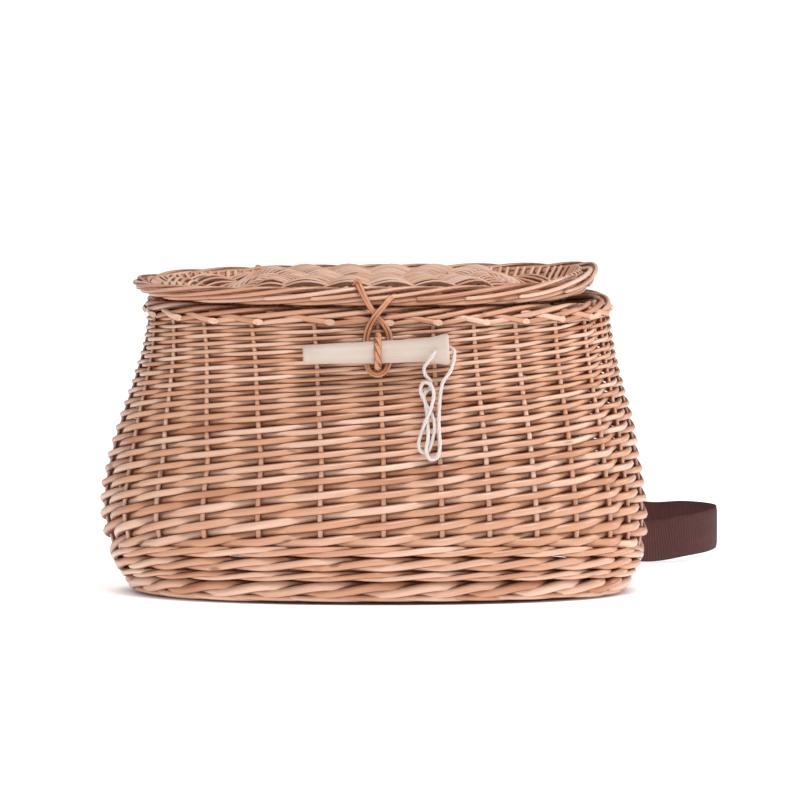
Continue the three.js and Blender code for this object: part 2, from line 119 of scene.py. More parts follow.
class CreelStudio(PropertyGroup):
    """The camera and the lights."""

    distance: metres("Camera distance", "From the camera to the creel", 20)
    elevation: FloatProperty(
        name="Camera elevation", description="How far the camera looks down",
        default=math.radians(5.8), subtype="ANGLE")
    frame_width: metres("Frame width", "What the picture is wide at the creel", 581.6 * MM)
    aim_right: metres("Aim right", "Camera's place right of the creel's middle", 15.3 * MM)
    aim_height: metres("Aim height", "Height that the camera looks at", 139.6 * MM)
    sky: amount("Sky", "Strength of the light all round", 0.38)
    floor_glow: amount("Floor glow", "Keeps the floor white away from the shadow", 0.7)
    key: amount("Key light", "Power of the softbox in front, above", 39, unit="POWER")
    fill: amount("Fill light", "Power of the softbox on the right", 14, unit="POWER")


def sizes():
    return bpy.context.scene.creel_sizes


def colours():
    return bpy.context.scene.creel_colours


def studio():
    return bpy.context.scene.creel_studio


# Small maths

# Steps between two of a curve's own points.
CURVE_STEPS = 16


def lerp(start, end, share):
    return start + (end - start) * share


def smoothstep(value, start, end):
    share = min(max((value - start) / (end - start), 0.0), 1.0)
    return share * share * (3 - 2 * share)


def smooth_between(before, start, end, after, share):
    outgoing, incoming = (end - before) / 2, (after - start) / 2
    square = share * share
    cube = square * share
    return ((2 * cube - 3 * square + 1) * start + (cube - 2 * square + share) * outgoing
            + (3 * square - 2 * cube) * end + (cube - square) * incoming)


def along_rows(rows, place):
    """Smooth values at a place down a table whose first column is the place."""
    last = len(rows) - 1
    row = 0
    while row < last - 1 and place > rows[row + 1][0]:
        row += 1
    before, start = rows[max(row - 1, 0)], rows[row]
    end, after = rows[row + 1], rows[min(row + 2, last)]
    share = (place - start[0]) / (end[0] - start[0])
    return [smooth_between(before[c], start[c], end[c], after[c], share)
            for c in range(1, len(start))]


def reaches(points):
    """How far along the row of points each of them lies."""
    reached = [0.0]
    for a, b in zip(points, points[1:]):
        reached.append(reached[-1] + (b - a).length)
    return reached


def heading(points, i):
    """Which way the row of points runs at one of them."""
    return (points[min(i + 1, len(points) - 1)] - points[max(i - 1, 0)]).normalized()


def smooth_path(points, steps):
    """Evenly spaced points along a centripetal curve through the points."""
    ends = [points[0] * 2 - points[1], *points, points[-1] * 2 - points[-2]]
    dense = []
    for i in range(len(points) - 1):
        p0, p1, p2, p3 = ends[i:i + 4]
        t1 = (p1 - p0).length ** 0.5
        t2 = t1 + (p2 - p1).length ** 0.5
        t3 = t2 + (p3 - p2).length ** 0.5
        for k in range(CURVE_STEPS):
            t = lerp(t1, t2, k / CURVE_STEPS)
            a1 = p0 * ((t1 - t) / t1) + p1 * (t / t1)
            a2 = p1 * ((t2 - t) / (t2 - t1)) + p2 * ((t - t1) / (t2 - t1))
            a3 = p2 * ((t3 - t) / (t3 - t2)) + p3 * ((t - t2) / (t3 - t2))
            b1 = a1 * ((t2 - t) / t2) + a2 * (t / t2)
            b2 = a2 * ((t3 - t) / (t3 - t1)) + a3 * ((t - t1) / (t3 - t1))
            dense.append(b1 * ((t2 - t) / (t2 - t1)) + b2 * ((t - t1) / (t2 - t1)))
    dense.append(points[-1].copy())
    reach = reaches(dense)
    even, row = [], 0
    for k in range(steps + 1):
        wanted = reach[-1] * k / steps
        while row < len(dense) - 2 and reach[row + 1] < wanted:
            row += 1
        share = (wanted - reach[row]) / max(reach[row + 1] - reach[row], 1e-9)
        even.append(dense[row].lerp(dense[row + 1], min(share, 1.0)))
    return even


# The basket's form

# Height share, then how far the body reaches left, right, front and back, as shares.
BODY_SECTIONS = [
    (0.0, 0.88, 0.885, 0.884, 0.79),
    (0.035, 0.912, 0.912, 0.925, 0.815),
    (0.102, 0.96, 0.95, 0.99, 0.85),
    (0.171, 0.992, 0.972, 1.045, 0.88),
    (0.236, 1.01, 0.98, 1.08, 0.897),
    (0.305, 1.018, 0.976, 1.098, 0.902),
    (0.44, 0.995, 0.955, 1.08, 0.9),
    (0.579, 0.952, 0.927, 1.02, 0.885),
    (0.713, 0.9, 0.887, 0.95, 0.865),
    (0.847, 0.858, 0.854, 0.89, 0.845),
    (1.0, 0.84, 0.834, 0.856, 0.837),
]
FRONT_ROUNDNESS = 2.4
BACK_ROUNDNESS = 3.0

# Where the twelve front stakes stand across the half width: half-way up, then at the top.
FRONT_STAKES = [
    (-0.927, -0.975), (-0.807, -0.887), (-0.636, -0.749), (-0.436, -0.541),
    (-0.211, -0.273), (0.018, 0.0), (0.236, 0.234), (0.415, 0.411),
    (0.593, 0.593), (0.745, 0.766), (0.876, 0.896), (0.949, 0.97),
]
STAKES = 24
STAKE_LEVEL_MID = 105 * MM
STAKE_LEVEL_TOP = 195 * MM
PER_STAKE = 16
WALK_STEPS = 1440
# Half the step between the two places that give an outline's direction, as a turn.
SMALL_TURN = 2e-3


def body_reach(z):
    """How far the body reaches left, right, front and back at a height."""
    s = sizes()
    left, right, front, back = along_rows(BODY_SECTIONS, z / s.mouth_top)
    half_width, half_depth = s.body_width / 2, s.body_depth / 2
    return left * half_width, right * half_width, front * half_depth, back * half_depth


def outline_xy(reach, turn):
    across, deep = math.cos(turn), math.sin(turn)
    power = 2 / (BACK_ROUNDNESS if deep > 0 else FRONT_ROUNDNESS)
    wide = reach[1] if across > 0 else reach[0]
    far = reach[3] if deep > 0 else reach[2]
    return (math.copysign(wide * abs(across) ** power, across),
            math.copysign(far * abs(deep) ** power, deep))


def outline_place(reach, turn):
    """A point of the outline, and the way out from it."""
    x, y = outline_xy(reach, turn)
    ax, ay = outline_xy(reach, turn + SMALL_TURN)
    bx, by = outline_xy(reach, turn - SMALL_TURN)
    out = Vector((ay - by, bx - ax, 0)).normalized()
    return Vector((x, y, 0)), out


class OutlineWalk:
    """The turn round an outline at each length walked along it."""

    def __init__(self, reach, laps):
        count = WALK_STEPS * laps
        self.turns = [2 * math.pi * laps * i / count for i in range(count + 1)]
        self.reached = reaches([Vector(outline_xy(reach, t)) for t in self.turns])

    def turn_of(self, arc):
        low, high = 0, len(self.reached) - 1
        while high - low > 1:
            middle = (low + high) // 2
            if self.reached[middle] <= arc:
                low = middle
            else:
                high = middle
        share = (arc - self.reached[low]) / (self.reached[high] - self.reached[low])
        return lerp(self.turns[low], self.turns[high], share)


class StakeTurns(OutlineWalk):
    """Turns round the body by stake number, evenly spaced at the back."""

    def __init__(self, column, level):
        super().__init__(body_reach(level), laps=2)
        fronts = [math.copysign(abs(row[column]) ** (FRONT_ROUNDNESS / 2), row[column])
                  for row in FRONT_STAKES]
        arcs = [self.arc_of(2 * math.pi - math.acos(f)) for f in fronts]
        self.round = self.reached[WALK_STEPS]
        hidden = STAKES - len(arcs)
        step = (arcs[0] + self.round - arcs[-1]) / (hidden + 1)
        self.arcs = arcs + [arcs[-1] + step * (i + 1) for i in range(hidden)]
        self.table = [self.turn_at_stake(i / PER_STAKE) for i in range(STAKES * PER_STAKE + 1)]

    def arc_of(self, turn):
        place = turn / (2 * math.pi) * WALK_STEPS
        row = int(place)
        return lerp(self.reached[row], self.reached[row + 1], place - row)

    def arc_at(self, number):
        laps, number = divmod(number, STAKES)
        return self.arcs[int(number)] + laps * self.round

    def turn_at_stake(self, u):
        whole = math.floor(u)
        arc = smooth_between(*[self.arc_at(whole + step) for step in (-1, 0, 1, 2)], u - whole)
        if arc < 2 * self.round:
            return self.turn_of(arc)
        return self.turn_of(arc - self.round) + 2 * math.pi

    def at(self, u):
        laps, u = divmod(u, STAKES)
        place = u * PER_STAKE
        row = min(int(place), STAKES * PER_STAKE - 1)
        return lerp(self.table[row], self.table[row + 1], place - row) + laps * 2 * math.pi


TURNS = {}


def stake_turn(u, z):
    """The turn of a stake, or of a place between two, leaning with the height."""
    if not TURNS:
        TURNS["mid"] = StakeTurns(0, STAKE_LEVEL_MID)
        TURNS["top"] = StakeTurns(1, STAKE_LEVEL_TOP)
    share = max((z - STAKE_LEVEL_MID) / (STAKE_LEVEL_TOP - STAKE_LEVEL_MID), 0)
    return lerp(TURNS["mid"].at(u), TURNS["top"].at(u), share)


def wall_place(u, z, out):
    """A point of the wall by stake number and height, and the way out."""
    spot, away = outline_place(body_reach(z), stake_turn(u, z))
    return spot + away * out + UP * z, away


# Rods


# The angle at which a rod's open side looks out where that is its top side.
TOP_OPEN = math.pi / 2
# Points nearer to each other than this are welded, in metres.
WELD = 1e-7
# The grain of each rod starts somewhere along this, in metres.
GRAIN_SPREAD = 20
# A rounded end: how far along it, and how wide, in widths of the rod.
BUTT_END = [(0.0, 0.45), (0.08, 0.72), (0.22, 0.9), (0.45, 1.0)]


class Rods:
    """A growing mesh of rods, each wrapped round a row of points."""

    def __init__(self, seed):
        self.bm = bmesh.new()
        self.tone = self.bm.verts.layers.float.new("tone")
        self.grain = self.bm.verts.layers.float_vector.new("grain")
        self.flank = self.bm.verts.layers.float.new("flank")
        self.rng = random.Random(sizes().seed * 1000 + seed)

    def rod(self, centres, widths, tone=None, reference=UP, sides=8, flat=1.0, slant=0.0,
            closed=False, face=0.0):
        """Wraps a rod. Widths are diameters, flat is the thickness over the width, and face is
        the angle from level at which its open side looks out."""
        tone = self.rng.random() if tone is None else tone
        steps = len(centres) - 1
        grid = bmesh.ops.create_grid(self.bm, x_segments=steps, y_segments=sides, size=0.5)
        verts = grid["verts"]
        start = self.rng.uniform(0, GRAIN_SPREAD)
        reached = reaches(centres)
        for i, centre in enumerate(centres):
            along = heading(centres, i)
            if closed and i in (0, steps):
                along = (centres[1] - centres[-2]).normalized()
            facing = reference[i] if isinstance(reference, list) else reference
            side = along.cross(facing).normalized()
            top = side.cross(along)
            width = widths[i] if isinstance(widths, list) else widths
            open_side = face[i] if isinstance(face, list) else face
            for j in range(sides + 1):
                angle = 2 * math.pi * (j % sides) / sides
                across = math.sin(angle) * width / 2
                rise = math.cos(angle) * width / 2 * flat
                vert = verts[j * (steps + 1) + i]
                vert.co = centre + side * across + top * rise
                if slant and i == steps:
                    vert.co -= along * across * slant
                vert[self.grain] = Vector((start + reached[i], across, rise))
                vert[self.tone] = tone
                # The flank is 1 where the rod lies against its neighbours; the willow's material paints
                # shade there.
                vert[self.flank] = abs(math.cos(angle + open_side))
        return verts

    def ring(self, centres, widths, **options):
        """A rod that closes on itself."""
        self.rod([*centres, centres[0]], widths, closed=True, **options)

    def rounded(self, centres, width, face):
        """A rod whose thick end, where it starts, is rounded off."""
        along = (centres[1] - centres[0]).normalized()
        starts = [centres[0] + along * (width * reach) for reach, _ in BUTT_END]
        widths = [width * share for _, share in BUTT_END] + [width] * (len(centres) - 1)
        self.rod([*starts, *centres[1:]], widths, face=[face[0]] * len(BUTT_END) + face[1:])

    def finish(self, name, materials, body, slot, replaced=()):
        """Welds, caps and links the rods as one piece."""
        for face in close(self.bm):
            face.smooth = False
            face.material_index = min(1, len(materials) - 1)
            for edge in face.edges:
                edge.smooth = False
        return link(self.bm, name, materials, body, replaced)


def close(bm):
    """Welds the wrapped grids, shades them smooth and returns the caps of their open ends."""
    bmesh.ops.remove_doubles(bm, verts=bm.verts[:], dist=WELD)
    rims = [edge for edge in bm.edges if edge.is_boundary]
    caps = bmesh.ops.holes_fill(bm, edges=rims, sides=len(rims))["faces"] if rims else []
    for face in bm.faces:
        face.smooth = True
    bmesh.ops.recalc_face_normals(bm, faces=bm.faces[:])
    return caps


def add(name, data):
    """Puts an object with this data into the scene."""
    made = bpy.data.objects.new(name, data)
    bpy.context.scene.collection.objects.link(made)
    return made


def add_mesh(bm, name, materials=()):
    mesh = bpy.data.meshes.new(name)
    bm.to_mesh(mesh)
    bm.free()
    for material in materials:
        mesh.materials.append(material)
    return add(name, mesh)


def link(bm, name, materials, body, replaced=()):
    """Makes the bmesh an object that rides on a body."""
    piece = add_mesh(bm, name, materials)
    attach(piece, body)
    if replaced:
        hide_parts(*replaced)
    return piece


# Shader nodes


class Value:
    """A socket of a material, which Python's operators add Math nodes to."""

    def __init__(self, maker, socket):
        self.maker, self.socket = maker, socket

    def sum_up(self, operation, first, second):
        node = self.maker.node("ShaderNodeMath", {"operation": operation}, {0: first, 1: second})
        return Value(self.maker, node.outputs[0])

    def __add__(self, other):
        return self.sum_up("ADD", self, other)

    __radd__ = __add__

    def __sub__(self, other):
        return self.sum_up("SUBTRACT", self, other)

    def __rsub__(self, other):
        return self.sum_up("SUBTRACT", other, self)

    def __mul__(self, other):
        return self.sum_up("MULTIPLY", self, other)

    __rmul__ = __mul__


class Maker:
    """Builds one node material."""

    def __init__(self, name):
        self.material = bpy.data.materials.new(name)
        self.material.use_nodes = True
        self.tree = self.material.node_tree
        self.tree.nodes.clear()

    def node(self, kind, settings=None, inputs=None):
        """Adds a node, sets it up, then fills its sockets with values or links."""
        node = self.tree.nodes.new(kind)
        for key, value in (settings or {}).items():
            if key == "stops":
                while len(node.color_ramp.elements) < len(value):
                    node.color_ramp.elements.new(0.5)
                for element, (position, colour) in zip(node.color_ramp.elements, value):
                    element.position = position
                    element.color = (*colour, 1) if isinstance(colour, tuple) else (colour,) * 3 + (1,)
            else:
                setattr(node, key, value)
        for key, value in (inputs or {}).items():
            self.put(node.inputs[key], value)
        return node

    def put(self, socket, value):
        if isinstance(value, Value):
            self.tree.links.new(value.socket, socket)
        elif isinstance(value, bpy.types.NodeSocket):
            self.tree.links.new(value, socket)
        elif hasattr(value, "__len__") and socket.type == "RGBA" and len(value) == 3:
            socket.default_value = (*value, 1)
        else:
            socket.default_value = value

    def attribute(self, name, output):
        node = self.node("ShaderNodeAttribute", {"attribute_name": name})
        return Value(self, node.outputs[output])

    def scaled(self, vector, scale):
        node = self.node("ShaderNodeMapping", {}, {"Vector": vector, "Scale": scale})
        return Value(self, node.outputs[0])

    def noise(self, vector, scale, detail=3.0, roughness=0.6):
        """Noise from 0 to 1, with its own scale along each axis."""
        node = self.node("ShaderNodeTexNoise", {}, {
            "Vector": self.scaled(vector, scale), "Scale": 1.0,
            "Detail": detail, "Roughness": roughness})
        return Value(self, node.outputs[0])

    def wave(self, place, pitch):
        """Swings from -1 to 1 and back once every pitch."""
        node = self.node("ShaderNodeMath", {"operation": "SINE"}, {0: place * (2 * math.pi / pitch)})
        return Value(self, node.outputs[0])

    def between(self, value, low, high):
        """0 below low, 1 above high, smooth between."""
        node = self.node("ShaderNodeMapRange", {"interpolation_type": "SMOOTHSTEP"}, {
            "Value": value, "From Min": low, "From Max": high})
        return Value(self, node.outputs[0])

    def mix(self, share, first, second):
        node = self.node("ShaderNodeMix", {"data_type": "RGBA"}, {0: share, 6: first, 7: second})
        return Value(self, node.outputs[2])

    def bump(self, height, strength, distance):
        node = self.node("ShaderNodeBump", {}, {
            "Height": height, "Strength": strength, "Distance": distance})
        return Value(self, node.outputs[0])

    def finish(self, **inputs):
        """The shader, by its socket names with spaces written as underlines."""
        named = {key.replace("_", " "): value for key, value in inputs.items()}
        shader = self.node("ShaderNodeBsdfPrincipled", {}, named)
        self.node("ShaderNodeOutputMaterial", {}, {"Surface": shader.outputs[0]})
        return self.material


def willow_material(name, usual, pale, deep):
    """Stripped rods: streaked along their length, with scars where shoots grew, and with painted
    shade on the flanks, where one rod lies on the next."""
    m = Maker(name)
    tone = m.attribute("tone", "Fac")
    flank = m.attribute("flank", "Fac")
    grain = m.attribute("grain", "Vector")
    streaks = m.noise(grain, (30, 1100, 1100), detail=3)
    patches = m.noise(grain, (14, 90, 90), detail=2)
    scars = m.node("ShaderNodeTexVoronoi", {}, {"Vector": m.scaled(grain, (26, 60, 60)), "Scale": 1.0})
    scar = 1 - m.between(Value(m, scars.outputs["Distance"]), 0.05, 0.16)
    pick = tone * 0.55 + patches * 0.75 - 0.12
    colour = m.mix(m.between(pick, 0.05, 0.45), deep, usual)
    colour = m.mix(m.between(pick, 0.45, 0.95), colour, pale)
    colour = m.mix(m.between(streaks, 0.5, 0.85) * 0.4, colour, deep)
    colour = m.mix(scar * 0.65, colour, tuple(c * 0.28 for c in deep))
    # Painted shade: the rods' flanks are mixed towards the dark crevice colour, where shade falls between
    # the rods.
    crevice_shade = m.between(flank, 0.64, 1.0)
    colour = m.mix(crevice_shade * 0.9, colour, tuple(colours().crevice_shade))
    height = streaks * 0.35 + patches * 0.5 + scar * 0.8
    return m.finish(
        Base_Color=colour,
        Roughness=0.3 + patches * 0.16 + crevice_shade * 0.4,
        Specular_IOR_Level=0.35, Coat_Weight=0.25, Coat_Roughness=0.24,
        Normal=m.bump(height, 0.35, 0.5 * MM),
    )


def cut_willow_material(name):
    """The pale end grain where a rod was cut."""
    m = Maker(name)
    place = Value(m, m.node("ShaderNodeTexCoord").outputs["Object"])
    speckle = m.noise(place, (900, 900, 900), detail=2)
    c = colours()
    colour = m.mix(m.between(speckle, 0.3, 0.8), tuple(c.willow_pale), tuple(c.willow))
    return m.finish(Base_Color=colour, Roughness=0.7, Normal=m.bump(speckle, 0.3, 0.3 * MM))


def shared_material(name, make):
    found = bpy.data.materials.get(name)
    return found if found else make(name)


def willow():
    c = colours()
    return [
        shared_material("woven_willow", lambda n: willow_material(
            n, tuple(c.willow), tuple(c.willow_pale), tuple(c.willow_deep))),
        shared_material("willow_cut", cut_willow_material),
    ]


def bark():
    c = colours()
    deep = tuple(part * 0.6 for part in c.bark)
    return [
        shared_material("split_willow", lambda n: willow_material(n, tuple(c.bark), tuple(c.willow), deep)),
        shared_material("willow_cut", cut_willow_material),
    ]


# Camera and stage


# In millimetres, as Blender takes it.
SENSOR_WIDTH = 36.0
FARTHEST_SEEN = 100
# The painted shadow under the basket, where the paper's glow fades out, ends between these shares of its
# foot.
SHADOW_END = (0.95, 1.15)
FLOOR_HALF_WIDTH = 12
KEY_PLACE = (0.3, -1.35, 2.15)
KEY_SIZE = 0.8
FILL_PLACE = (1.9, 0.1, 0.9)
FILL_SIZE = 0.7
LIGHTS_AIM = Vector((0, 0, 0.12))


class CREEL_OT_camera(Operator):
    """Place the camera at the photograph's angle"""

    bl_idname = "creel.camera"
    bl_label = "Camera"

    def execute(self, context):
        st = studio()
        data = bpy.data.cameras.new("camera")
        data.sensor_width = SENSOR_WIDTH
        data.lens = SENSOR_WIDTH * st.distance / st.frame_width
        data.clip_end = FARTHEST_SEEN
        camera = add("camera", data)
        back = Vector((0, -math.cos(st.elevation), math.sin(st.elevation)))
        camera.location = Vector((st.aim_right, 0, st.aim_height)) + back * st.distance
        camera.rotation_euler = (math.pi / 2 - st.elevation, 0, 0)
        context.scene.camera = camera
        return {"FINISHED"}


def paper_material(name):
    """White paper that glows evenly, with a painted shadow under the basket where its glow fades out."""
    m = Maker(name)
    place = Value(m, m.node("ShaderNodeTexCoord").outputs["Object"])
    reach = body_reach(0)
    round_foot = m.scaled(place, (1 / reach[1], 1 / reach[2], 0))
    distance = m.node("ShaderNodeVectorMath", {"operation": "LENGTH"}, {0: round_foot})
    # Painted shadow: no glow under the basket's foot, full glow beyond it.
    open_floor = m.between(Value(m, distance.outputs["Value"]), *SHADOW_END)
    glow = m.mix(open_floor, (0.0, 0.0, 0.0), (1.0, 1.0, 1.0))
    return m.finish(
        Base_Color=(0.9, 0.9, 0.9), Roughness=0.9,
        Emission_Color=glow, Emission_Strength=studio().floor_glow)


class CREEL_OT_stage(Operator):
    """Lay the pale floor and set the softboxes"""

    bl_idname = "creel.stage"
    bl_label = "Stage"

    def execute(self, context):
        st = studio()
        scene = context.scene
        scene.view_settings.view_transform = "Standard"
        bm = bmesh.new()
        bmesh.ops.create_grid(bm, x_segments=4, y_segments=4, size=FLOOR_HALF_WIDTH)
        floor = add_mesh(bm, "floor", [paper_material("paper")])
        self.softbox("key", st.key, KEY_SIZE, Vector(KEY_PLACE))
        self.softbox("fill", st.fill, FILL_SIZE, Vector(FILL_PLACE))
        world = bpy.data.worlds.new("surroundings")
        world.use_nodes = True
        nodes, links = world.node_tree.nodes, world.node_tree.links
        backdrop = nodes["Background"]
        backdrop.inputs["Color"].default_value = (1, 1, 1, 1)
        rays = nodes.new("ShaderNodeLightPath")
        strength = nodes.new("ShaderNodeMapRange")
        strength.inputs["To Min"].default_value = st.sky
        strength.inputs["To Max"].default_value = 1.0
        links.new(rays.outputs["Is Camera Ray"], strength.inputs["Value"])
        links.new(strength.outputs["Result"], backdrop.inputs["Strength"])
        scene.world = world
        return {"FINISHED"}

    def softbox(self, name, power, size, place):
        light = bpy.data.lights.new(name, "AREA")
        light.energy, light.size = power, size
        lamp = add(name, light)
        lamp.location = place
        lamp.rotation_euler = (LIGHTS_AIM - place).to_track_quat("-Z", "Y").to_euler()


# The peg's cord

# The cord's route in millimetres, out of the front of the hole and back into its other side.
CORD_ROUTE = [
    (40.7, -109.4, 187.2), (40.7, -117.0, 187.2), (40.0, -122.8, 186.0), (37.0, -124.2, 181.6),
    (32.8, -121.0, 175.4), (33.6, -116.2, 170.0), (37.2, -113.4, 164.6), (37.0, -113.2, 159.9),
    (33.0, -114.0, 155.8), (33.0, -115.2, 150.4), (38.4, -116.4, 140.8), (40.3, -117.4, 132.1),
    (38.4, -118.6, 121.6), (35.4, -119.2, 114.3), (30.8, -119.4, 113.9), (28.8, -119.2, 118.9),
    (30.4, -119.2, 127.1), (33.0, -122.0, 134.4), (37.8, -121.6, 146.3), (39.6, -119.0, 155.8),
    (37.2, -117.4, 162.8), (32.6, -116.2, 164.1), (30.0, -116.4, 158.6), (33.6, -118.8, 149.4),
    (35.0, -118.3, 136.3), (35.6, -121.4, 124.7), (34.2, -122.8, 114.7), (37.0, -122.6, 109.0),
    (41.6, -121.8, 109.6), (44.0, -120.6, 116.1), (43.4, -117.6, 136.6), (46.0, -114.8, 163.2),
    (51.8, -113.0, 172.0), (54.4, -108.0, 180.8), (54.0, -100.8, 186.4), (49.4, -95.6, 188.0),
    (43.8, -95.2, 187.6), (41.0, -98.0, 187.3), (40.7, -102.6, 187.2), (40.7, -108.6, 187.2),
]
CORD_STEPS = 460
CORD_SIDES = 12
CORD_PLIES = 3
# Length along the cord between two plies.
CORD_LAY = 9 * MM
# The hollow between two plies, as a share of the cord's radius.
CORD_HOLLOW = 0.8


def cotton_material(name):
    """Twisted cotton: strands wind round the cord, with fine fibres, and painted shade in the hollows
    between the plies.
    """
    m = Maker(name)
    grain = m.attribute("grain", "Vector")
    ply = m.attribute("tone", "Fac")
    fibre = m.noise(grain, (1500, 2500, 2500), detail=2)
    soft = m.noise(grain, (60, 200, 200), detail=2)
    c = tuple(colours().cord)
    shade = tuple(part * 0.72 for part in c)
    # Painted shade: the hollows between the plies are mixed towards the darker colour, which also gives the
    # soft blotches below.
    colour = m.mix(m.between(ply, 0.0, 0.7), shade, c)
    colour = m.mix(m.between(soft, 0.45, 0.8) * 0.3, colour, shade)
    return m.finish(Base_Color=colour, Roughness=0.92, Normal=m.bump(fibre, 0.5, 0.2 * MM))


class CREEL_OT_peg_cord(Operator):
    """Twist the peg's cotton cord along its route"""

    bl_idname = "creel.peg_cord"
    bl_label = "Peg cord"

    def execute(self, context):
        diameter = sizes().cord
        points = [Vector(p) * MM for p in CORD_ROUTE]
        path = smooth_path(points, CORD_STEPS)
        length = reaches(path)[-1]
        laps = length / CORD_LAY / CORD_PLIES
        rods = Rods(1)
        verts = rods.rod(path, diameter, sides=CORD_SIDES, reference=Vector((0.3, 1, 0.15)).normalized())
        for i, centre in enumerate(path):
            for j in range(CORD_SIDES + 1):
                vert = verts[j * (CORD_STEPS + 1) + i]
                angle = 2 * math.pi * ((j % CORD_SIDES) / CORD_SIDES - laps * i / CORD_STEPS)
                swell = abs(math.cos(angle * CORD_PLIES / 2))
                vert.co = centre + (vert.co - centre) * lerp(CORD_HOLLOW, 1, swell)
                # The tone holds the swell, from 0 in the hollow between two plies to 1 on a ply; the
                # cotton's material paints shade in the hollows.
                vert[rods.tone] = swell
        cotton = shared_material("twisted_cotton", cotton_material)
        piece = rods.finish("cotton_cord", [cotton], "peg", "cotton", ["peg_cord"])
        return {"FINISHED"}


# Weaves

# Points of a rod between two stakes.
PER_BAY = 7
# How much lower the wale is at the basket's ends: evenly towards them, and in the last part.
WALE_DIP = 12 * MM
WALE_END_DIP = 6 * MM


def wale_top_at(u):
    """The wale's top dips towards the two ends."""
    s = sizes()
    _, y = outline_xy(body_reach(s.wale_top), stake_turn(u, s.wale_top))
    reach = body_reach(s.wale_top)
    end = 1 - min(abs(y) / (reach[3] if y > 0 else reach[2]), 1)
    return s.wale_top - WALE_DIP * end - WALE_END_DIP * end ** 3


# Pitch of the siding's front rows in millimetres, by share of the siding's height.
ROW_PITCH = [(0.0, 12.4), (0.1, 11.8), (0.2, 10.6), (0.3, 9.7), (0.44, 8.9), (0.55, 8.3),
             (0.64, 7.2), (0.73, 6.3), (0.88, 5.7), (1.0, 5.4)]
# How far the siding's rods swing in and out, as a share of two rods that only touch.
SIDING_DEPTH = 0.74
# Nearer to 1, the rods are straighter between two stakes.
STROKE_SHARPNESS = 0.96
# How far a siding rod strays up or down, and how much of its swing it keeps.
SIDING_SWAY = 0.4 * MM
SIDING_PRESS = (0.85, 1.08)
# How far the siding reaches up into the border.
SIDING_OVER = 1.2 * MM
# The diameter of a stake at the top, as a share of that at the foot.
STAKE_TAPER = 0.8
STAKE_STEPS = 26
STAKE_FOOT = 8 * MM
STAKE_OVER = 4 * MM
# How far the stakes stand out of the weave's middle, in siding rods.
STAKE_OUT = 0.22


def stroke(j):
    """1 in front of the even stakes, -1 behind the odd ones, almost straight between."""
    return math.asin(STROKE_SHARPNESS * math.cos(math.pi * j)) / math.asin(STROKE_SHARPNESS)


def siding_rod(share):
    """A siding rod's diameter by share of the siding's height."""
    return along_rows(ROW_PITCH, share)[0] * MM * sizes().siding_fill


def stake_width(share):
    """A stake's diameter by share of the siding's height."""
    return lerp(sizes().stake, sizes().stake * STAKE_TAPER, share)


def row_heights():
    """Height shares of the half rows, from the wale up to the border."""
    s = sizes()
    height = s.siding_top - s.wale_top
    shares = [0.0]
    while shares[-1] < 1:
        pitch = along_rows(ROW_PITCH, shares[-1])[0] * MM
        shares.append(shares[-1] + pitch / 2 / height)
    return [share / shares[-1] for share in shares]


class CREEL_OT_siding(Operator):
    """Weave the siding in French randing over the stakes"""

    bl_idname = "creel.siding"
    bl_label = "Siding"

    def execute(self, context):
        s = sizes()
        rods = Rods(2)
        shares = row_heights()
        rows = len(shares) - 1
        quarters = STAKES * 4
        bottoms = [wale_top_at(quarter / 4) for quarter in range(quarters)]
        for weaver in range(STAKES):
            thick = rods.rng.uniform(0.94, 1.07)
            sway = [rods.rng.uniform(-SIDING_SWAY, SIDING_SWAY) for _ in range(rows + 2)]
            press = [rods.rng.uniform(*SIDING_PRESS) for _ in range(rows + 2)]
            centres, widths = [], []
            for step in range(-PER_BAY, rows * PER_BAY + 1):
                j = step / PER_BAY
                u = (weaver + j) % STAKES
                row = min(max(int(j), 0), rows - 1)
                part = max(j - row, 0)
                share = lerp(shares[row], shares[row + 1], part)
                quarter = int(u * 4)
                low = lerp(bottoms[quarter % quarters], bottoms[(quarter + 1) % quarters], u * 4 - quarter)
                width = siding_rod(share) * thick
                swing = (width + stake_width(share)) / 2 * SIDING_DEPTH
                z = lerp(low + width * 0.35, s.siding_top + SIDING_OVER, share)
                z += lerp(sway[row], sway[row + 1], part) + min(j, 0) * width * 0.3
                push = lerp(press[row], press[row + 1], part)
                out = -(swing + width / 2) + swing * stroke(j) * push
                centres.append(wall_place(u, z, out)[0])
                widths.append(width)
            rods.rod(centres, widths)
        rods.finish("siding_weavers", willow(), "root", "willow", ["siding"])
        return {"FINISHED"}


class CREEL_OT_stakes(Operator):
    """Set up the stakes that the siding is woven on"""

    bl_idname = "creel.stakes"
    bl_label = "Stakes"

    def execute(self, context):
        s = sizes()
        rods = Rods(3)
        for number in range(STAKES):
            centres, widths, facing = [], [], []
            for i in range(STAKE_STEPS + 1):
                z = lerp(STAKE_FOOT, s.siding_top + STAKE_OVER, i / STAKE_STEPS)
                share = min(max((z - s.wale_top) / (s.siding_top - s.wale_top), 0), 1)
                rod, stake = siding_rod(share), stake_width(share)
                middle = -rod / 2 - (rod + stake) / 2 * SIDING_DEPTH
                spot, away = wall_place(number, z, middle + STAKE_OUT * rod)
                centres.append(spot)
                widths.append(stake)
                facing.append(away)
            rods.rod(centres, widths, reference=facing, tone=rods.rng.uniform(0.5, 1), face=TOP_OPEN)
        rods.finish("stakes", willow(), "root", "willow")
        return {"FINISHED"}


# Stake at the back where the wale's rods are joined.
WALE_JOIN = 17
WALE_FOOT = 5 * MM
# Where the wale's rounds meet, as shares of its height.
WALE_ROUNDS = [0.0, 0.33, 0.52, 0.79, 1.0]
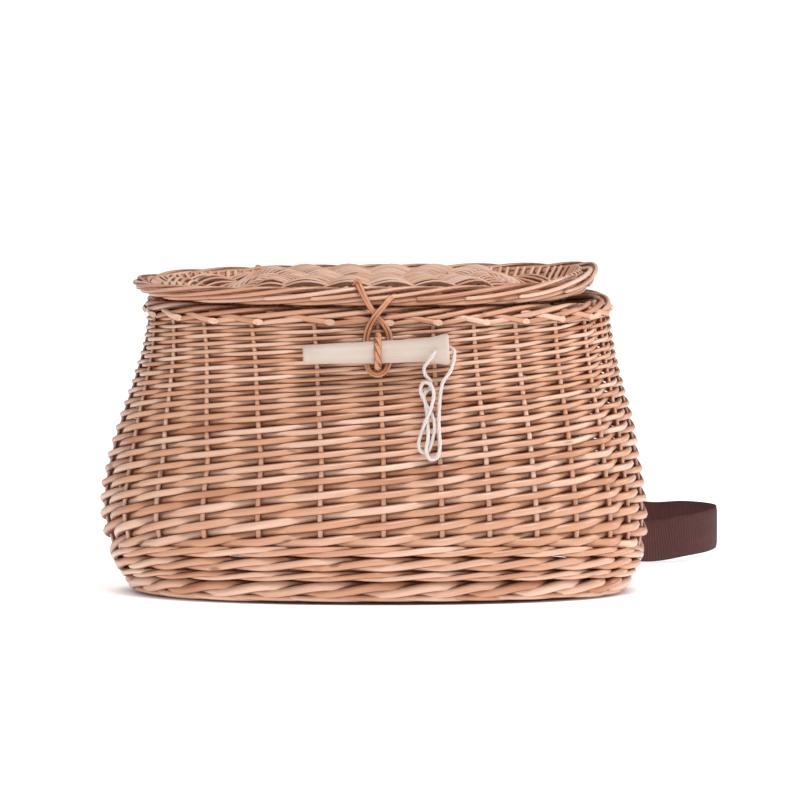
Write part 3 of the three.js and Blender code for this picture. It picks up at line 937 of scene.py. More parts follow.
# A wale stroke by stakes travelled: behind one stake, then in front of two while it climbs.
WALE_STROKE = [
    (-1.0, 0.22, 1.0), (0.0, 0.0, -1.0), (1.0, -0.22, 1.0), (2.0, 0.22, 1.0), (3.0, 0.0, -1.0),
    (4.0, -0.22, 1.0),
]
# A foot rod by stakes travelled: its height in millimetres and how far out it lies, as a share.
FOOT_ROD = [
    (-0.3, 6.0, -1.2), (0.1, 5.4, -0.3), (0.6, 4.6, 0.2),
    (1.3, 4.2, 0.15), (2.0, 4.6, -0.5), (2.5, 5.5, -1.4),
]
FOOT_STEPS = 16


class CREEL_OT_wale(Operator):
    """Weave the upsett in rounds of three-rod wale"""

    bl_idname = "creel.wale"
    bl_label = "Upsett wale"

    def execute(self, context):
        s = sizes()
        rods = Rods(4)
        rounds = len(WALE_ROUNDS) - 1
        for level in range(rounds):
            for start in range(3):
                share, next_share = WALE_ROUNDS[level], WALE_ROUNDS[level + 1]
                thick = (next_share - share) * rounds * rods.rng.uniform(0.94, 1.06)
                width = s.wale_rod * thick
                centres = []
                for step in range(STAKES * PER_BAY):
                    u = (step / PER_BAY + WALE_JOIN) % STAKES
                    top = wale_top_at(u)
                    pitch = (top - WALE_FOOT) * (next_share - share)
                    middle = lerp(WALE_FOOT, top, (share + next_share) / 2) - 0.4 * MM
                    climb, side = along_rows(WALE_STROKE, (u + start) % 3)
                    z = middle + climb * pitch
                    swing = (width + s.stake) / 2
                    out = -(swing + width / 2) + side * swing
                    centres.append(wall_place(u, z, out)[0])
                rods.ring(centres, width)
        for number in range(STAKES):
            self.foot_rod(rods, number)
        rods.finish("upsett_rods", willow(), "root", "willow", ["upsett_wale"])
        return {"FINISHED"}

    def foot_rod(self, rods, number):
        """One rod of the foot that covers the ends of the base sticks."""
        width = rods.rng.uniform(4.2, 5.2) * MM
        lift = rods.rng.uniform(-0.6, 0.8) * MM
        first, last = FOOT_ROD[0][0], FOOT_ROD[-1][0]
        centres = []
        for i in range(FOOT_STEPS + 1):
            du = lerp(first, last, i / FOOT_STEPS)
            height, side = along_rows(FOOT_ROD, du)
            z = height * MM + lift
            centres.append(wall_place(number + du, z, (side - 0.55) * width)[0])
        rods.rod(centres, width)


# A border rod by stakes travelled: its height as a share of the border, and how far out it lies.
BODY_BORDER_ROD = [
    (-0.2, -0.2, -0.6), (0.1, -0.16, 0.3), (0.4, 0.02, 0.85), (1.0, 0.34, 1.0),
    (1.6, 0.7, 1.0), (2.1, 0.95, 0.7), (2.5, 1.0, 0.0), (3.0, 0.9, -0.7),
]
BODY_BORDER_INSIDE = [
    (0.0, 0.85, -0.3), (0.7, 0.72, -0.8), (1.6, 0.45, -0.95), (2.4, 0.1, -0.9), (3.0, -0.15, -0.7),
]
BODY_BORDER_TAIL = [
    (-0.75, 0.62, 0.4), (-0.4, 0.42, 0.8), (-0.1, 0.22, 1.15), (0.22, 0.0, 1.5),
]
BODY_BORDER_DEPTH = 15 * MM
# How far the border stands out of the wall.
BODY_BORDER_OUT = 1.5 * MM
TAIL_SLANT = 1.5


class CREEL_OT_body_border(Operator):
    """Lay the rolled border round the mouth, with its cut tails"""

    bl_idname = "creel.body_border"
    bl_label = "Body border"

    def execute(self, context):
        rods = Rods(5)
        for number in range(STAKES):
            self.lay(rods, BODY_BORDER_ROD, number, 1.0)
            self.lay(rods, BODY_BORDER_INSIDE, number, 0.95)
            tail_at = number + rods.rng.uniform(-0.12, 0.12)
            self.lay(rods, BODY_BORDER_TAIL, tail_at, 1.05, slant=TAIL_SLANT)
        rods.finish("mouth_border", willow(), "root", "willow", ["body_border"])
        return {"FINISHED"}

    def lay(self, rods, route, number, scale, slant=0.0):
        s = sizes()
        width = s.border_rod * scale * rods.rng.uniform(0.9, 1.1)
        height = s.mouth_top - s.siding_top
        lift = rods.rng.uniform(-0.5, 0.5) * MM
        first, last = route[0][0], route[-1][0]
        steps = max(int((last - first) * PER_BAY), 6)
        centres, face = [], []
        for i in range(steps + 1):
            du = lerp(first, last, i / steps)
            up, side = along_rows(route, du)
            face.append(math.atan2(max(up, 0), side))
            z = s.siding_top + width / 2 + up * (height - width) + lift
            spot, away = wall_place(number + du, min(z, s.mouth_top), 0)
            spot.z = z
            middle = BODY_BORDER_OUT - BODY_BORDER_DEPTH / 2
            centres.append(spot + away * (middle + side * (BODY_BORDER_DEPTH - width) / 2))
        rods.rod(centres, width, slant=slant, face=face)


# The lid

LID_REST = 1.2 * MM
LID_BORDER_HEIGHT = 14 * MM
LID_BORDER_THICKNESS = 13 * MM
LID_OVERHANG = (1.5 * MM, -16 * MM, 3 * MM, -2 * MM)
LID_STAKES = 22

# The lid's border by eighths of a turn from the right-hand end: height, flare and lift.
LID_BORDER_ROUND = [
    (1.38, 0.72, 0.12), (1.1, 0.6, 0.0), (0.95, 0.15, 0.0), (0.8, 0.6, 0.0),
    (0.74, 0.8, 0.0), (0.9, 0.5, 0.0), (1.0, 0.1, 0.0), (1.08, 0.4, 0.0),
]


# Heights over the lid's bottom: of its crown, of its dished ends and along its border.
LID_CROWN = 15.5 * MM
LID_DISH = 0.5 * MM
LID_EDGE = 8 * MM
# How far inside the mouth the surface comes down to the height along the border.
LID_EDGE_INSET = 20 * MM
# Where the crown turns into a dish, and the surface into its edge, as shares of the way out.
DISH_SHARES = (0.5, 0.8)
EDGE_SHARES = (0.78, 1.0)


def lid_bottom():
    return sizes().mouth_top + LID_REST


def lid_border_shares(turn):
    count = len(LID_BORDER_ROUND)
    place = (turn / (2 * math.pi)) % 1 * count
    row = int(place) % count
    rows = [LID_BORDER_ROUND[(row + step) % count] for step in (-1, 0, 1, 2)]
    return [smooth_between(*[r[c] for r in rows], place - math.floor(place)) for c in range(3)]


def lid_reach(inset):
    mouth = body_reach(sizes().mouth_top)
    return tuple(far + extra - inset for far, extra in zip(mouth, LID_OVERHANG))


def outline_share(reach, x, y):
    power = BACK_ROUNDNESS if y > 0 else FRONT_ROUNDNESS
    across = abs(x) / (reach[1] if x > 0 else reach[0])
    deep = abs(y) / (reach[3] if y > 0 else reach[2])
    return (across ** power + deep ** power) ** (1 / power)


def lid_top(x, y):
    """The lid's surface: crowned along the middle, dished at both ends."""
    mouth = tuple(far - LID_EDGE_INSET for far in body_reach(sizes().mouth_top))
    panel = lid_reach(LID_BORDER_THICKNESS)
    along = abs(x) / (mouth[1] if x > 0 else mouth[0])
    crowned = lid_bottom() + lerp(LID_CROWN, LID_DISH, smoothstep(along, *DISH_SHARES))
    inside = max(outline_share(mouth, x, y), outline_share(panel, x, y))
    return lerp(crowned, lid_bottom() + LID_EDGE, smoothstep(inside, *EDGE_SHARES))


class LidTurns(OutlineWalk):
    """Turns round the lid by stake number, evenly spaced along its outline."""

    def __init__(self):
        super().__init__(lid_reach(LID_BORDER_THICKNESS / 2), laps=1)

    def at(self, u):
        laps, u = divmod(u, LID_STAKES)
        return self.turn_of(self.reached[-1] * u / LID_STAKES) + laps * 2 * math.pi


LID_SPINE = 0.6


def lid_place(turns, u, share, out):
    """A point of the lid's surface: share 0 on its spine, 1 at its border."""
    x, y = outline_xy(lid_reach(LID_BORDER_THICKNESS - 2 * MM), turns.at(u))
    x, y = x * lerp(LID_SPINE, 1, share), y * share
    small = 1 * MM
    slope_x = (lid_top(x + small, y) - lid_top(x - small, y)) / (2 * small)
    slope_y = (lid_top(x, y + small) - lid_top(x, y - small)) / (2 * small)
    away = Vector((-slope_x, -slope_y, 1)).normalized()
    return Vector((x, y, lid_top(x, y))) + away * out, away


LID_STICK = 4.4 * MM
# How deep the sticks lie under the lid's surface.
LID_STICK_DEPTH = 4.2 * MM
# The share of the half depth that is woven, and a weaver's diameter as a share of two rows.
LID_WOVEN = 0.86
LID_FILL = 0.58
# The lid's weavers end short of its spine.
LID_INNERMOST = 0.02
LID_PER_BAY = 6
# Rods side by side along the spine of the lid and of the base.
SPINE_LANES = range(-2, 3)
LID_LANE = 4.6 * MM
# The upright stick ends: how far apart, and from which share of the half width on.
UPRIGHT_PITCH = 5.8 * MM
UPRIGHT_FROM = 0.5
# Each is looked for at turns that lie this far apart.
UPRIGHT_SEARCH = 0.004


class CREEL_OT_lid_panel(Operator):
    """Weave the lid round its sticks"""

    bl_idname = "creel.lid_panel"
    bl_label = "Lid panel"

    def execute(self, context):
        rods = Rods(6)
        turns = LidTurns()
        width = sizes().lid_rod
        middle = -LID_STICK_DEPTH
        swing = (width + LID_STICK) / 2
        reach = lid_reach(LID_BORDER_THICKNESS)
        rows = int(reach[2] * LID_WOVEN * LID_FILL / width) * 2
        for weaver in range(LID_STAKES):
            centres = []
            count = rows - rods.rng.randint(0, 1)
            for step in range(count * LID_PER_BAY + 1):
                j = step / LID_PER_BAY
                share = lerp(1.0, LID_INNERMOST, j / rows)
                squeeze = smoothstep(share, 0.0, 0.35)
                out = middle - swing * math.cos(math.pi * j) * lerp(0.6, 1, squeeze)
                centres.append(lid_place(turns, weaver + j, share, out)[0])
            thick = width * rods.rng.uniform(0.93, 1.06)
            rods.rod(centres, thick, tone=rods.rng.uniform(0.6, 1.15), face=TOP_OPEN)
        for number in range(LID_STAKES):
            centres = [lid_place(turns, number, i / 12, middle)[0] for i in range(13)]
            rods.rod(centres, LID_STICK, face=TOP_OPEN)
        half_width, centre = (reach[0] + reach[1]) / 2, (reach[1] - reach[0]) / 2
        for lane in SPINE_LANES:
            centres = []
            for i in range(15):
                x = centre + lerp(-1, 1, i / 14) * half_width * LID_SPINE
                y = lane * LID_LANE
                centres.append(Vector((x, y, lid_top(x, y) + middle - 1 * MM)))
            rods.rod(centres, LID_STICK, face=TOP_OPEN)
        self.uprights(rods)
        rods.finish("lid_weave", willow(), "lid", "willow", ["lid_panel"])
        return {"FINISHED"}

    def uprights(self, rods):
        """Stick ends that turn up inside the border at both ends of the lid."""
        reach = lid_reach(LID_BORDER_THICKNESS - 0.5 * MM)
        turn, previous = 0.0, None
        travelled = 0.0
        while turn < 2 * math.pi:
            spot, away = outline_place(reach, turn)
            travelled += (spot - previous).length if previous else 0.0
            previous = spot
            if travelled > UPRIGHT_PITCH and abs(spot.x) > reach[1] * UPRIGHT_FROM:
                travelled = 0.0
                tall, flare, lift = lid_border_shares(turn)
                high = lid_bottom() + LID_BORDER_HEIGHT * (lift + tall) - 2.5 * MM
                along = Vector((-away.y, away.x, 0)) * rods.rng.uniform(0.5, 2.5) * MM
                low = spot - away * 5 * MM + along
                low.z = lid_top(spot.x, spot.y) - 8 * MM
                knee = spot - away * 1 * MM
                knee.z = low.z + 3 * MM
                top = spot + away * (LID_BORDER_HEIGHT * flare * 0.8) - along
                top.z = high
                rods.rod(smooth_path([low, knee, top], 8), rods.rng.uniform(3.2, 4.0) * MM,
                         reference=away, tone=rods.rng.uniform(0.5, 1), face=TOP_OPEN)
            turn += UPRIGHT_SEARCH


# The lid's border rods by stakes travelled: height as a share of the border, and how far out.
LID_BORDER_LOW = [
    (-0.2, 0.0, -0.6), (0.1, 0.0, 0.2), (0.4, 0.02, 0.75), (1.0, 0.16, 0.85),
    (1.6, 0.36, 0.6), (2.0, 0.44, 0.0), (2.4, 0.44, -0.5),
]
LID_BORDER_HIGH = [
    (0.0, 0.34, 1.18), (0.3, 0.4, 1.25), (0.8, 0.58, 1.1), (1.4, 0.86, 0.95),
    (1.8, 1.02, 0.5), (2.2, 1.02, -0.2), (2.7, 0.85, -0.8),
]
LID_BORDER_BACK = [
    (0.0, 0.9, -0.4), (0.8, 0.75, -0.85), (1.8, 0.45, -1.0), (2.8, 0.15, -0.9),
]


class CREEL_OT_lid_border(Operator):
    """Lay the lid's rolled border"""

    bl_idname = "creel.lid_border"
    bl_label = "Lid border"

    def execute(self, context):
        rods = Rods(7)
        turns = LidTurns()
        for number in range(LID_STAKES):
            self.lay(rods, turns, LID_BORDER_LOW, number, 0.92)
            self.lay(rods, turns, LID_BORDER_HIGH, number + rods.rng.uniform(0.3, 0.6), 0.86)
            self.lay(rods, turns, LID_BORDER_BACK, number, 0.95)
        rods.finish("lid_rim", willow(), "lid", "willow", ["lid_border"])
        return {"FINISHED"}

    def lay(self, rods, turns, route, number, scale):
        width = sizes().border_rod * scale * rods.rng.uniform(0.9, 1.08)
        reach = lid_reach(LID_BORDER_THICKNESS / 2)
        first, last = route[0][0], route[-1][0]
        steps = int((last - first) * PER_BAY)
        centres, face = [], []
        for i in range(steps + 1):
            du = lerp(first, last, i / steps)
            up, side = along_rows(route, du)
            face.append(math.atan2(max(up, 0), side))
            turn = turns.at(number + du)
            tall, flare, lift = lid_border_shares(turn)
            spot, away = outline_place(reach, turn)
            room = LID_BORDER_HEIGHT * tall - width
            spot.z = lid_bottom() + LID_BORDER_HEIGHT * lift + width / 2 + up * room
            lean = LID_BORDER_HEIGHT * flare * up
            centres.append(spot + away * (lean + side * (LID_BORDER_THICKNESS - width) / 2))
        rods.rounded(centres, width, face)


# Hinges and closure

# A ply's diameter as a share of the ring's thickness.
PLY_WIDTH = 0.56


def twisted(rods, centres, width, plies, lay):
    """Plies of a rod wound round each other along a ring."""
    count = len(centres)
    reached = 0.0
    total = sum((centres[(i + 1) % count] - centres[i]).length for i in range(count))
    turns = round(total / lay)
    strands = [[] for _ in range(plies)]
    for i, centre in enumerate(centres):
        ahead, behind = centres[(i + 1) % count], centres[i - 1]
        along = (ahead - behind).normalized()
        side = Vector((1, 0, 0))
        top = along.cross(side).normalized()
        angle = 2 * math.pi * turns * reached / total
        for ply in range(plies):
            a = angle + 2 * math.pi * ply / plies
            strands[ply].append(centre + (side * math.cos(a) + top * math.sin(a)) * width / 4)
        reached += (ahead - centre).length
    for strand in strands:
        rods.ring(strand, width * PLY_WIDTH, reference=Vector((1, 0, 0)))


RING_PLIES = 2
HINGE_RING_STEPS = 96
PEG_RING_STEPS = 120
# Length along a ring for one turn of its plies, to the left where it is below 0.
HINGE_RING_LAY = 17 * MM
PEG_RING_LAY = -13 * MM
PEG_RING_RADIUS = 2.2 * MM


class CREEL_OT_hinge_rings(Operator):
    """Twist the two willow rings that hinge the lid"""

    bl_idname = "creel.hinge_rings"
    bl_label = "Hinge rings"

    def execute(self, context):
        for side, name in ((-1, "left"), (1, "right")):
            node = "hinge_ring_" + name
            low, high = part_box(node)
            middle = (low + high) / 2
            radius = (high.z - low.z) / 2 - (high.x - low.x) / 2
            rods = Rods(8 + side)
            ring = [middle + Vector((0, math.cos(a), math.sin(a))) * radius
                    for a in (2 * math.pi * i / HINGE_RING_STEPS for i in range(HINGE_RING_STEPS))]
            twisted(rods, ring, high.x - low.x, RING_PLIES, HINGE_RING_LAY)
            rods.finish("hinge_twist_" + name, bark(), "root", "willow_bark", [node])
        return {"FINISHED"}


class CREEL_OT_peg_ring(Operator):
    """Twist the willow ring that holds the peg"""

    bl_idname = "creel.peg_ring"
    bl_label = "Peg ring"

    def execute(self, context):
        low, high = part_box("peg_ring")
        middle = (low + high) / 2
        width = high.x - low.x
        radius = (high.z - low.z) / 2 - PEG_RING_RADIUS
        straight = (high.y - low.y) / 2 - PEG_RING_RADIUS - radius
        rods = Rods(10)
        ring = []
        for i in range(PEG_RING_STEPS):
            a = 2 * math.pi * i / PEG_RING_STEPS
            shift = math.copysign(straight, math.cos(a)) * smoothstep(abs(math.cos(a)), 0, 0.5)
            ring.append(middle + Vector((0, radius * math.cos(a) + shift, radius * math.sin(a))))
        twisted(rods, ring, width * 0.9, RING_PLIES, PEG_RING_LAY)
        rods.finish("peg_twist", bark(), "root", "willow_bark", ["peg_ring"])
        return {"FINISHED"}


# The hasp's route from the front: across and out in shares, level from -1 below the peg to 1 on the lid.
HASP_ROUTE = [
    (-0.972, 1.0, -1.75), (-0.861, 1.08, -0.5), (-0.722, 0.98, 0.55), (-0.444, 0.76, 0.5),
    (-0.139, 0.57, 0.3), (0.211, 0.4, 0.3), (0.411, 0.24, 0.15), (0.456, 0, 0.15),
    (0.411, -0.5, 0.15), (0.222, -0.88, 0.15), (-0.056, -1, 0.15), (-0.333, -0.88, 0.15),
    (-0.494, -0.5, 0.15), (-0.528, 0, 0.15), (-0.489, 0.24, 0.15), (-0.361, 0.4, 0.45),
    (-0.111, 0.57, 1), (0.167, 0.7, 0.8), (0.472, 0.83, 0.15), (0.694, 0.86, -1.25),
]
HASP_HALF_WIDTH = 18 * MM
HASP_OUT = 4 * MM
HASP_WIDTH = 4.4 * MM
HASP_THICKNESS = 1.8 * MM
HASP_STEPS = 150
# A strand of the split hasp: its width and its way off the middle as shares of the hasp's width,
# its thickness over its width, and how far it strays.
STRAND_WIDTH = 0.54
STRAND_OFFSET = 0.25
STRAND_FLAT = 0.72
STRAND_SWAY = 0.25 * MM


def hasp_points():
    s = sizes()
    peg_level = s.siding_top - PEG_DROP
    border_front = lid_reach(0)[2] + LID_BORDER_HEIGHT * 0.05
    lid_high = lid_bottom() + LID_BORDER_HEIGHT
    points = []
    for across, level, out in HASP_ROUTE:
        reach = PEG_DROP if level < 0 else lid_high - peg_level
        z = peg_level + level * reach
        wall = body_reach(min(z, s.siding_top))[2]
        surface = lerp(wall, border_front, smoothstep(z, s.siding_top, lid_bottom()))
        away = surface + HASP_THICKNESS / 2 + out * HASP_OUT
        points.append(Vector((across * HASP_HALF_WIDTH, -away, z)))
    return points


class CREEL_OT_hasp(Operator):
    """Loop the split willow hasp that the peg holds down"""

    bl_idname = "creel.hasp"
    bl_label = "Hasp"

    def execute(self, context):
        rods = Rods(11)
        path = smooth_path(hasp_points(), HASP_STEPS)
        facing = Vector((0, -1, 0))
        for lane in (-1, 1):
            centres = []
            for i, spot in enumerate(path):
                side = heading(path, i).cross(facing).normalized()
                sway = STRAND_SWAY * math.sin(i * 0.11 + lane)
                centres.append(spot + side * (lane * HASP_WIDTH * STRAND_OFFSET + sway))
            rods.rod(centres, HASP_WIDTH * STRAND_WIDTH, reference=facing, flat=STRAND_FLAT, face=TOP_OPEN)
        rods.finish("hasp_strands", bark(), "lid", "willow_bark", ["hasp_loop"])
        return {"FINISHED"}


# The peg from its tip to its head, as shares of its length and of the head's diameter.
PEG_PROFILE = [
    (0.0, 0.0), (0.0, 0.42), (0.004, 0.52), (0.014, 0.585), (0.12, 0.622), (0.3, 0.67),
    (0.45, 0.715), (0.62, 0.73), (0.78, 0.741), (0.82, 0.757), (0.86, 0.79), (0.89, 0.842),
    (0.92, 0.9), (0.94, 0.945), (0.955, 0.972), (0.97, 0.992), (0.982, 1.0), (0.992, 0.985),
    (0.998, 0.94), (1.0, 0.9), (1.0, 0.0),
]
PEG_LENGTH = 106 * MM
PEG_HEAD = 22.4 * MM
PEG_TILT = math.radians(2.3)
# The peg's place: how far below the siding's top, and right of the creel's middle.
PEG_DROP = 17.5 * MM
PEG_RIGHT = -2 * MM
# The hole for the cord: how far from the head's end, and its radius.
PEG_HOLE_FROM_END = 10.2 * MM
PEG_HOLE_RADIUS = 2.2 * MM
PEG_SIDES = 56
PEG_HOLE_SIDES = 20


def peg_material(name):
    """Pale turned wood: growth lines along it, faint turning marks round it."""
    m = Maker(name)
    place = Value(m, m.node("ShaderNodeTexCoord").outputs["Object"])
    lines = m.noise(place, (18, 520, 520), detail=4)
    pores = m.noise(place, (160, 2600, 2600), detail=2)
    marks = m.noise(place, (900, 30, 30), detail=1)
    broad = m.noise(place, (30, 90, 90), detail=2)
    c = tuple(colours().peg)
    warm = (c[0] * 0.9, c[1] * 0.78, c[2] * 0.64)
    colour = m.mix(m.between(lines, 0.42, 0.75) * 0.45, c, warm)
    colour = m.mix(m.between(broad, 0.4, 0.8) * 0.35, colour, warm)
    colour = m.mix(m.between(pores, 0.62, 0.8) * 0.35, colour, tuple(part * 0.6 for part in warm))
    height = lines * 0.3 + marks * 0.35 - pores * 0.3
    return m.finish(Base_Color=colour, Roughness=0.5 + broad * 0.15, Normal=m.bump(height, 0.25, 0.3 * MM))


def peg_place(spot):
    """Turns a point from the peg's own frame, tip at the left, into place."""
    low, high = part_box("peg")
    middle = Vector((PEG_RIGHT, (low.y + high.y) / 2, sizes().siding_top - PEG_DROP))
    x, y, z = spot
    return middle + Vector((x * math.cos(PEG_TILT) - z * math.sin(PEG_TILT), y,
                            x * math.sin(PEG_TILT) + z * math.cos(PEG_TILT)))


class CREEL_OT_peg(Operator):
    """Turn the peg and drill it for its cord"""

    bl_idname = "creel.peg"
    bl_label = "Peg"

    def execute(self, context):
        wood = shared_material("peg_wood", peg_material)
        bm = bmesh.new()
        profile = [bm.verts.new((along * PEG_LENGTH - PEG_LENGTH / 2, 0, share * PEG_HEAD / 2))
                   for along, share in PEG_PROFILE]
        edges = [bm.edges.new(pair) for pair in zip(profile, profile[1:])]
        bmesh.ops.spin(bm, geom=[*profile, *edges], cent=(0, 0, 0), axis=(1, 0, 0),
                       angle=2 * math.pi, steps=PEG_SIDES, use_merge=True)
        bmesh.ops.remove_doubles(bm, verts=bm.verts[:], dist=1e-6)
        bmesh.ops.recalc_face_normals(bm, faces=bm.faces[:])
        for face in bm.faces:
            face.smooth = True
        for vert in bm.verts:
            vert.co = peg_place(vert.co)
        piece = link(bm, "turned_peg", [wood], "peg", ["peg"])
        drill = self.drill()
        modifier = piece.modifiers.new("hole", "BOOLEAN")
        modifier.operation, modifier.object, modifier.solver = "DIFFERENCE", drill, "EXACT"
        made = piece.evaluated_get(context.evaluated_depsgraph_get())
        drilled = bpy.data.meshes.new_from_object(made)
        piece.modifiers.clear()
        piece.data = drilled
        bpy.data.objects.remove(drill)
        return {"FINISHED"}

    def drill(self):
        bm = bmesh.new()
        bmesh.ops.create_cone(bm, cap_ends=True, segments=PEG_HOLE_SIDES, radius1=PEG_HOLE_RADIUS,
                              radius2=PEG_HOLE_RADIUS, depth=PEG_HEAD * 1.4)
        hole_at = PEG_LENGTH / 2 - PEG_HOLE_FROM_END
        for vert in bm.verts:
            x, y, z = vert.co
            vert.co = peg_place(Vector((hole_at + x, z, y)))
        bmesh.ops.recalc_face_normals(bm, faces=bm.faces[:])
        return add_mesh(bm, "drill")


# The base

# The base's outline lies inside the body's, its sticks at this level.
BASE_INSET = 15 * MM
BASE_LEVEL = 4.6 * MM
BASE_STICK = 4.0 * MM
BASE_ROD = 3.4 * MM
# The share of the half depth that is woven, and a weaver's diameter as a share of two rows.
BASE_WOVEN = 0.84
BASE_FILL = 0.56
BASE_INNERMOST = 0.12
BASE_PER_BAY = 5
# How far the weavers swing, as a share of a rod and a stick that only touch.
BASE_SWING = 0.68
BASE_LANE = 4.4 * MM
BASE_LANE_ROD = 4.2 * MM


class CREEL_OT_base(Operator):
    """Weave the flat base round its sticks"""

    bl_idname = "creel.base"
    bl_label = "Base"

    def execute(self, context):
        rods = Rods(12)
        reach = tuple(far - BASE_INSET for far in body_reach(0))
        swing = (BASE_STICK + BASE_ROD) / 2 * BASE_SWING
        rows = int(reach[2] * BASE_WOVEN * BASE_FILL / BASE_ROD) * 2

        def place(u, share, out):
            x, y = outline_xy(reach, 2 * math.pi * u / STAKES)
            return Vector((x * lerp(LID_SPINE, 1, share), y * share, BASE_LEVEL + out))

        for weaver in range(STAKES):
            centres = []
            for step in range(rows * BASE_PER_BAY + 1):
                j = step / BASE_PER_BAY
                share = lerp(1.0, BASE_INNERMOST, j / rows)
                centres.append(place(weaver + j, share, swing * math.cos(math.pi * j)))
            rods.rod(centres, BASE_ROD, face=TOP_OPEN)
        for number in range(STAKES):
            rods.rod([place(number, i / 6, 0) for i in range(7)], BASE_STICK, face=TOP_OPEN)
        half = (reach[0] + reach[1]) / 2 * LID_SPINE
        for lane in SPINE_LANES:
            centres = [Vector((lerp(-half, half, i / 8), lane * BASE_LANE, BASE_LEVEL)) for i in range(9)]
            rods.rod(centres, BASE_LANE_ROD, face=TOP_OPEN)
        rods.finish("base_weave", willow(), "root", "willow", ["base"])
        return {"FINISHED"}


# The shoulder strap

# An end of the strap seen from above: along the wall and off it, as shares.
STRAP_END = [
    (-1, 0.506), (-0.632, 0.349), (-0.211, 0.289), (0.105, 0.289), (0.303, 0.181),
    (0.337, -0.241), (0.305, -0.723), (0.158, -1), (-0.105, -1), (-0.263, -0.723),
    (-0.305, -0.241), (-0.368, 0.096), (-0.632, 0.169), (-1, 0.313),
]
STRAP_ANCHORS = [(-1, 126), (1, 54)]
# The hanging stretch: across in half widths, back in depths and level in heights of the body.
STRAP_RUN = [
    (-0.31, 0.493, 0.755), (-0.18, 0.526, 0.704), (-0.02, 0.567, 0.611), (0.15, 0.614, 0.5),
    (0.33, 0.665, 0.38), (0.52, 0.721, 0.259), (0.73, 0.781, 0.153), (0.96, 0.837, 0.08),
    (1.125, 0.884, 0.094), (1.21, 0.958, 0.103), (1.238, 1.051, 0.109), (1.21, 1.144, 0.109),
    (1.12, 1.228, 0.107), (1, 1.293, 0.097), (0.85, 1.321, 0.115), (0.71, 1.302, 0.17),
    (0.58, 1.219, 0.26), (0.47, 1.116, 0.37), (0.38, 0.995, 0.463), (0.31, 0.856, 0.565),
    (0.26, 0.707, 0.667), (0.27, 0.567, 0.741), (0.34, 0.498, 0.773),
]
# The ends sit this far below the siding's top; a share along the wall and one off it are this long.
STRAP_DROP = 35 * MM
STRAP_END_ALONG = 38 * MM
STRAP_END_OUT = 16.6 * MM
STRAP_STEPS = 560
STRAP_LANES = 8
# Pitch of the webbing's ribs and of its warp threads.
RIB_PITCH = 1.9 * MM
WARP_PITCH = 1.1 * MM


def webbing_material(name):
    """Ribbed webbing: weft ribs across it, warp threads along it, with painted shade in the grooves between
    them.
    """
    m = Maker(name)
    weave = m.attribute("grain", "Vector")
    parts = m.node("ShaderNodeSeparateXYZ", {}, {0: weave})
    along, across = Value(m, parts.outputs[0]), Value(m, parts.outputs[1])
    rib = m.wave(along, RIB_PITCH)
    warp = m.wave(across, WARP_PITCH)
    fuzz = m.noise(weave, (1400, 1400, 1400), detail=2)
    worn = m.noise(weave, (40, 90, 90), detail=2)
    c = tuple(colours().strap)
    dark = tuple(part * 0.45 for part in c)
    pale = tuple(min(part * 1.7, 1) for part in c)
    ridge = m.between(rib, -0.9, 0.9)
    # Painted shade: the grooves between the ribs and between the warp threads are mixed towards the dark
    # colour.
    colour = m.mix(ridge * (warp * 0.25 + 0.75), dark, c)
    colour = m.mix(m.between(worn, 0.45, 0.85) * 0.3, colour, pale)
    height = ridge * 0.8 + warp * ridge * 0.25 + fuzz * 0.2
    return m.finish(Base_Color=colour, Roughness=0.62 + fuzz * 0.2, Normal=m.bump(height, 0.8, 0.5 * MM))


def strap_path():
    s = sizes()
    level = s.siding_top - STRAP_DROP
    ends = []
    for side, degrees in STRAP_ANCHORS:
        reach = body_reach(level)
        spot = Vector((*outline_xy(reach, math.radians(degrees)), level))
        near = Vector((*outline_xy(reach, math.radians(degrees) - side * 1e-3), level))
        along = (near - spot).normalized()
        out = Vector((-along.y * side, along.x * side, 0))
        ends.append([spot + along * (a * STRAP_END_ALONG) + out * (o * STRAP_END_OUT)
                     for a, o in STRAP_END])
    run = [Vector((x * s.body_width / 2, y * s.body_depth, z * s.mouth_top)) for x, y, z in STRAP_RUN]
    return [*ends[0], *run, *reversed(ends[1])]


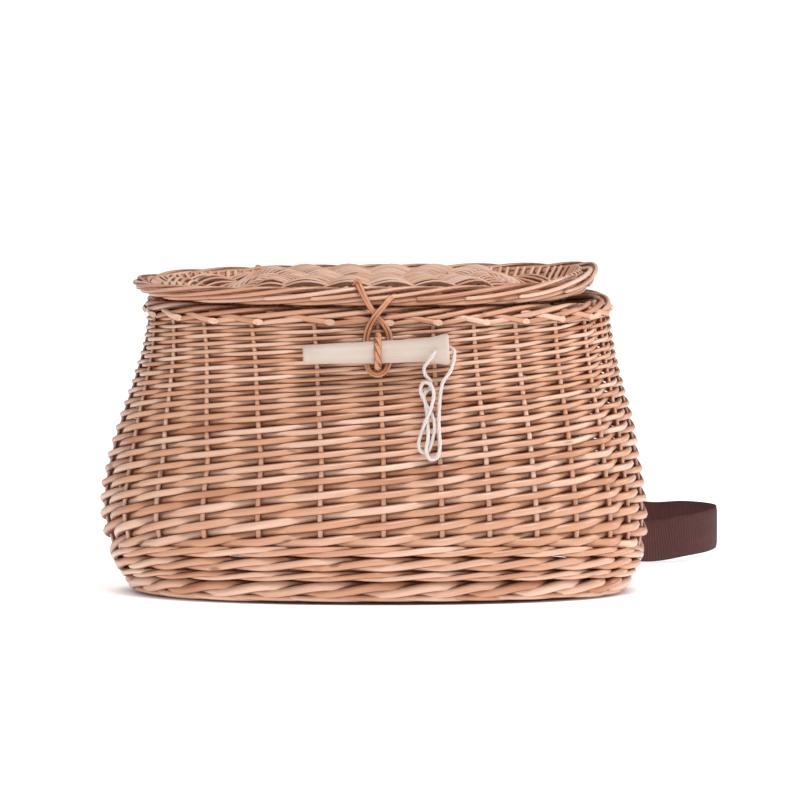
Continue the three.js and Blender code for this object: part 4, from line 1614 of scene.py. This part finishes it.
class CREEL_OT_strap(Operator):
    """Hang the webbing strap behind the basket"""

    bl_idname = "creel.strap"
    bl_label = "Shoulder strap"

    def execute(self, context):
        s = sizes()
        webbing = shared_material("ribbed_webbing", webbing_material)
        bm = bmesh.new()
        grain = bm.verts.layers.float_vector.new("grain")
        path = smooth_path(strap_path(), STRAP_STEPS)
        reached = reaches(path)
        half, thick = s.strap_width / 2, s.strap_thickness / 2
        section = []
        for side in (1, -1):
            for lane in range(STRAP_LANES + 1):
                across = side * lerp(-1, 1, lane / STRAP_LANES)
                edge = 1 - max(abs(across) - 0.9, 0) * 5
                section.append((across * half, side * thick * edge))
        grid = bmesh.ops.create_grid(bm, x_segments=STRAP_STEPS, y_segments=len(section), size=0.5)
        verts = grid["verts"]
        for i, centre in enumerate(path):
            along = heading(path, i)
            wide = (UP - along * along.dot(UP)).normalized()
            out = along.cross(wide)
            for j in range(len(section) + 1):
                across, through = section[j % len(section)]
                vert = verts[j * (STRAP_STEPS + 1) + i]
                vert.co = centre + wide * across + out * through
                vert[grain] = Vector((reached[i], across, through))
        close(bm)
        link(bm, "webbing_strap", [webbing], "root", ["shoulder_strap"])
        return {"FINISHED"}


# Panel and running order


STEPS = (
    CREEL_OT_camera, CREEL_OT_peg_cord, CREEL_OT_base, CREEL_OT_wale, CREEL_OT_stakes,
    CREEL_OT_siding, CREEL_OT_body_border, CREEL_OT_lid_panel, CREEL_OT_lid_border,
    CREEL_OT_hinge_rings, CREEL_OT_peg_ring, CREEL_OT_hasp, CREEL_OT_peg, CREEL_OT_strap,
    CREEL_OT_stage,
)
GROUPS = (("creel_sizes", CreelSizes), ("creel_colours", CreelColours), ("creel_studio", CreelStudio))


class CREEL_PT_panel(Panel):
    """Sizes, colours and steps of the creel"""

    bl_label = "Creel"
    bl_idname = "CREEL_PT_panel"
    bl_space_type = "VIEW_3D"
    bl_region_type = "UI"
    bl_category = "Creel"

    def draw(self, context):
        for name, group in GROUPS:
            box = self.layout.box()
            settings = getattr(context.scene, name)
            for key in group.__annotations__:
                box.prop(settings, key)
        column = self.layout.column()
        for step in STEPS:
            column.operator(step.bl_idname)


def register():
    for name, group in GROUPS:
        bpy.utils.register_class(group)
        setattr(bpy.types.Scene, name, PointerProperty(type=group))
    for step in STEPS:
        bpy.utils.register_class(step)
    bpy.utils.register_class(CREEL_PT_panel)


def unregister():
    bpy.utils.unregister_class(CREEL_PT_panel)
    for step in reversed(STEPS):
        bpy.utils.unregister_class(step)
    for name, group in reversed(GROUPS):
        delattr(bpy.types.Scene, name)
        bpy.utils.unregister_class(group)


def main():
    register()
    for step in STEPS:
        family, action = step.bl_idname.split(".")
        getattr(getattr(bpy.ops, family), action)()


if __name__ == "__main__":
    main()
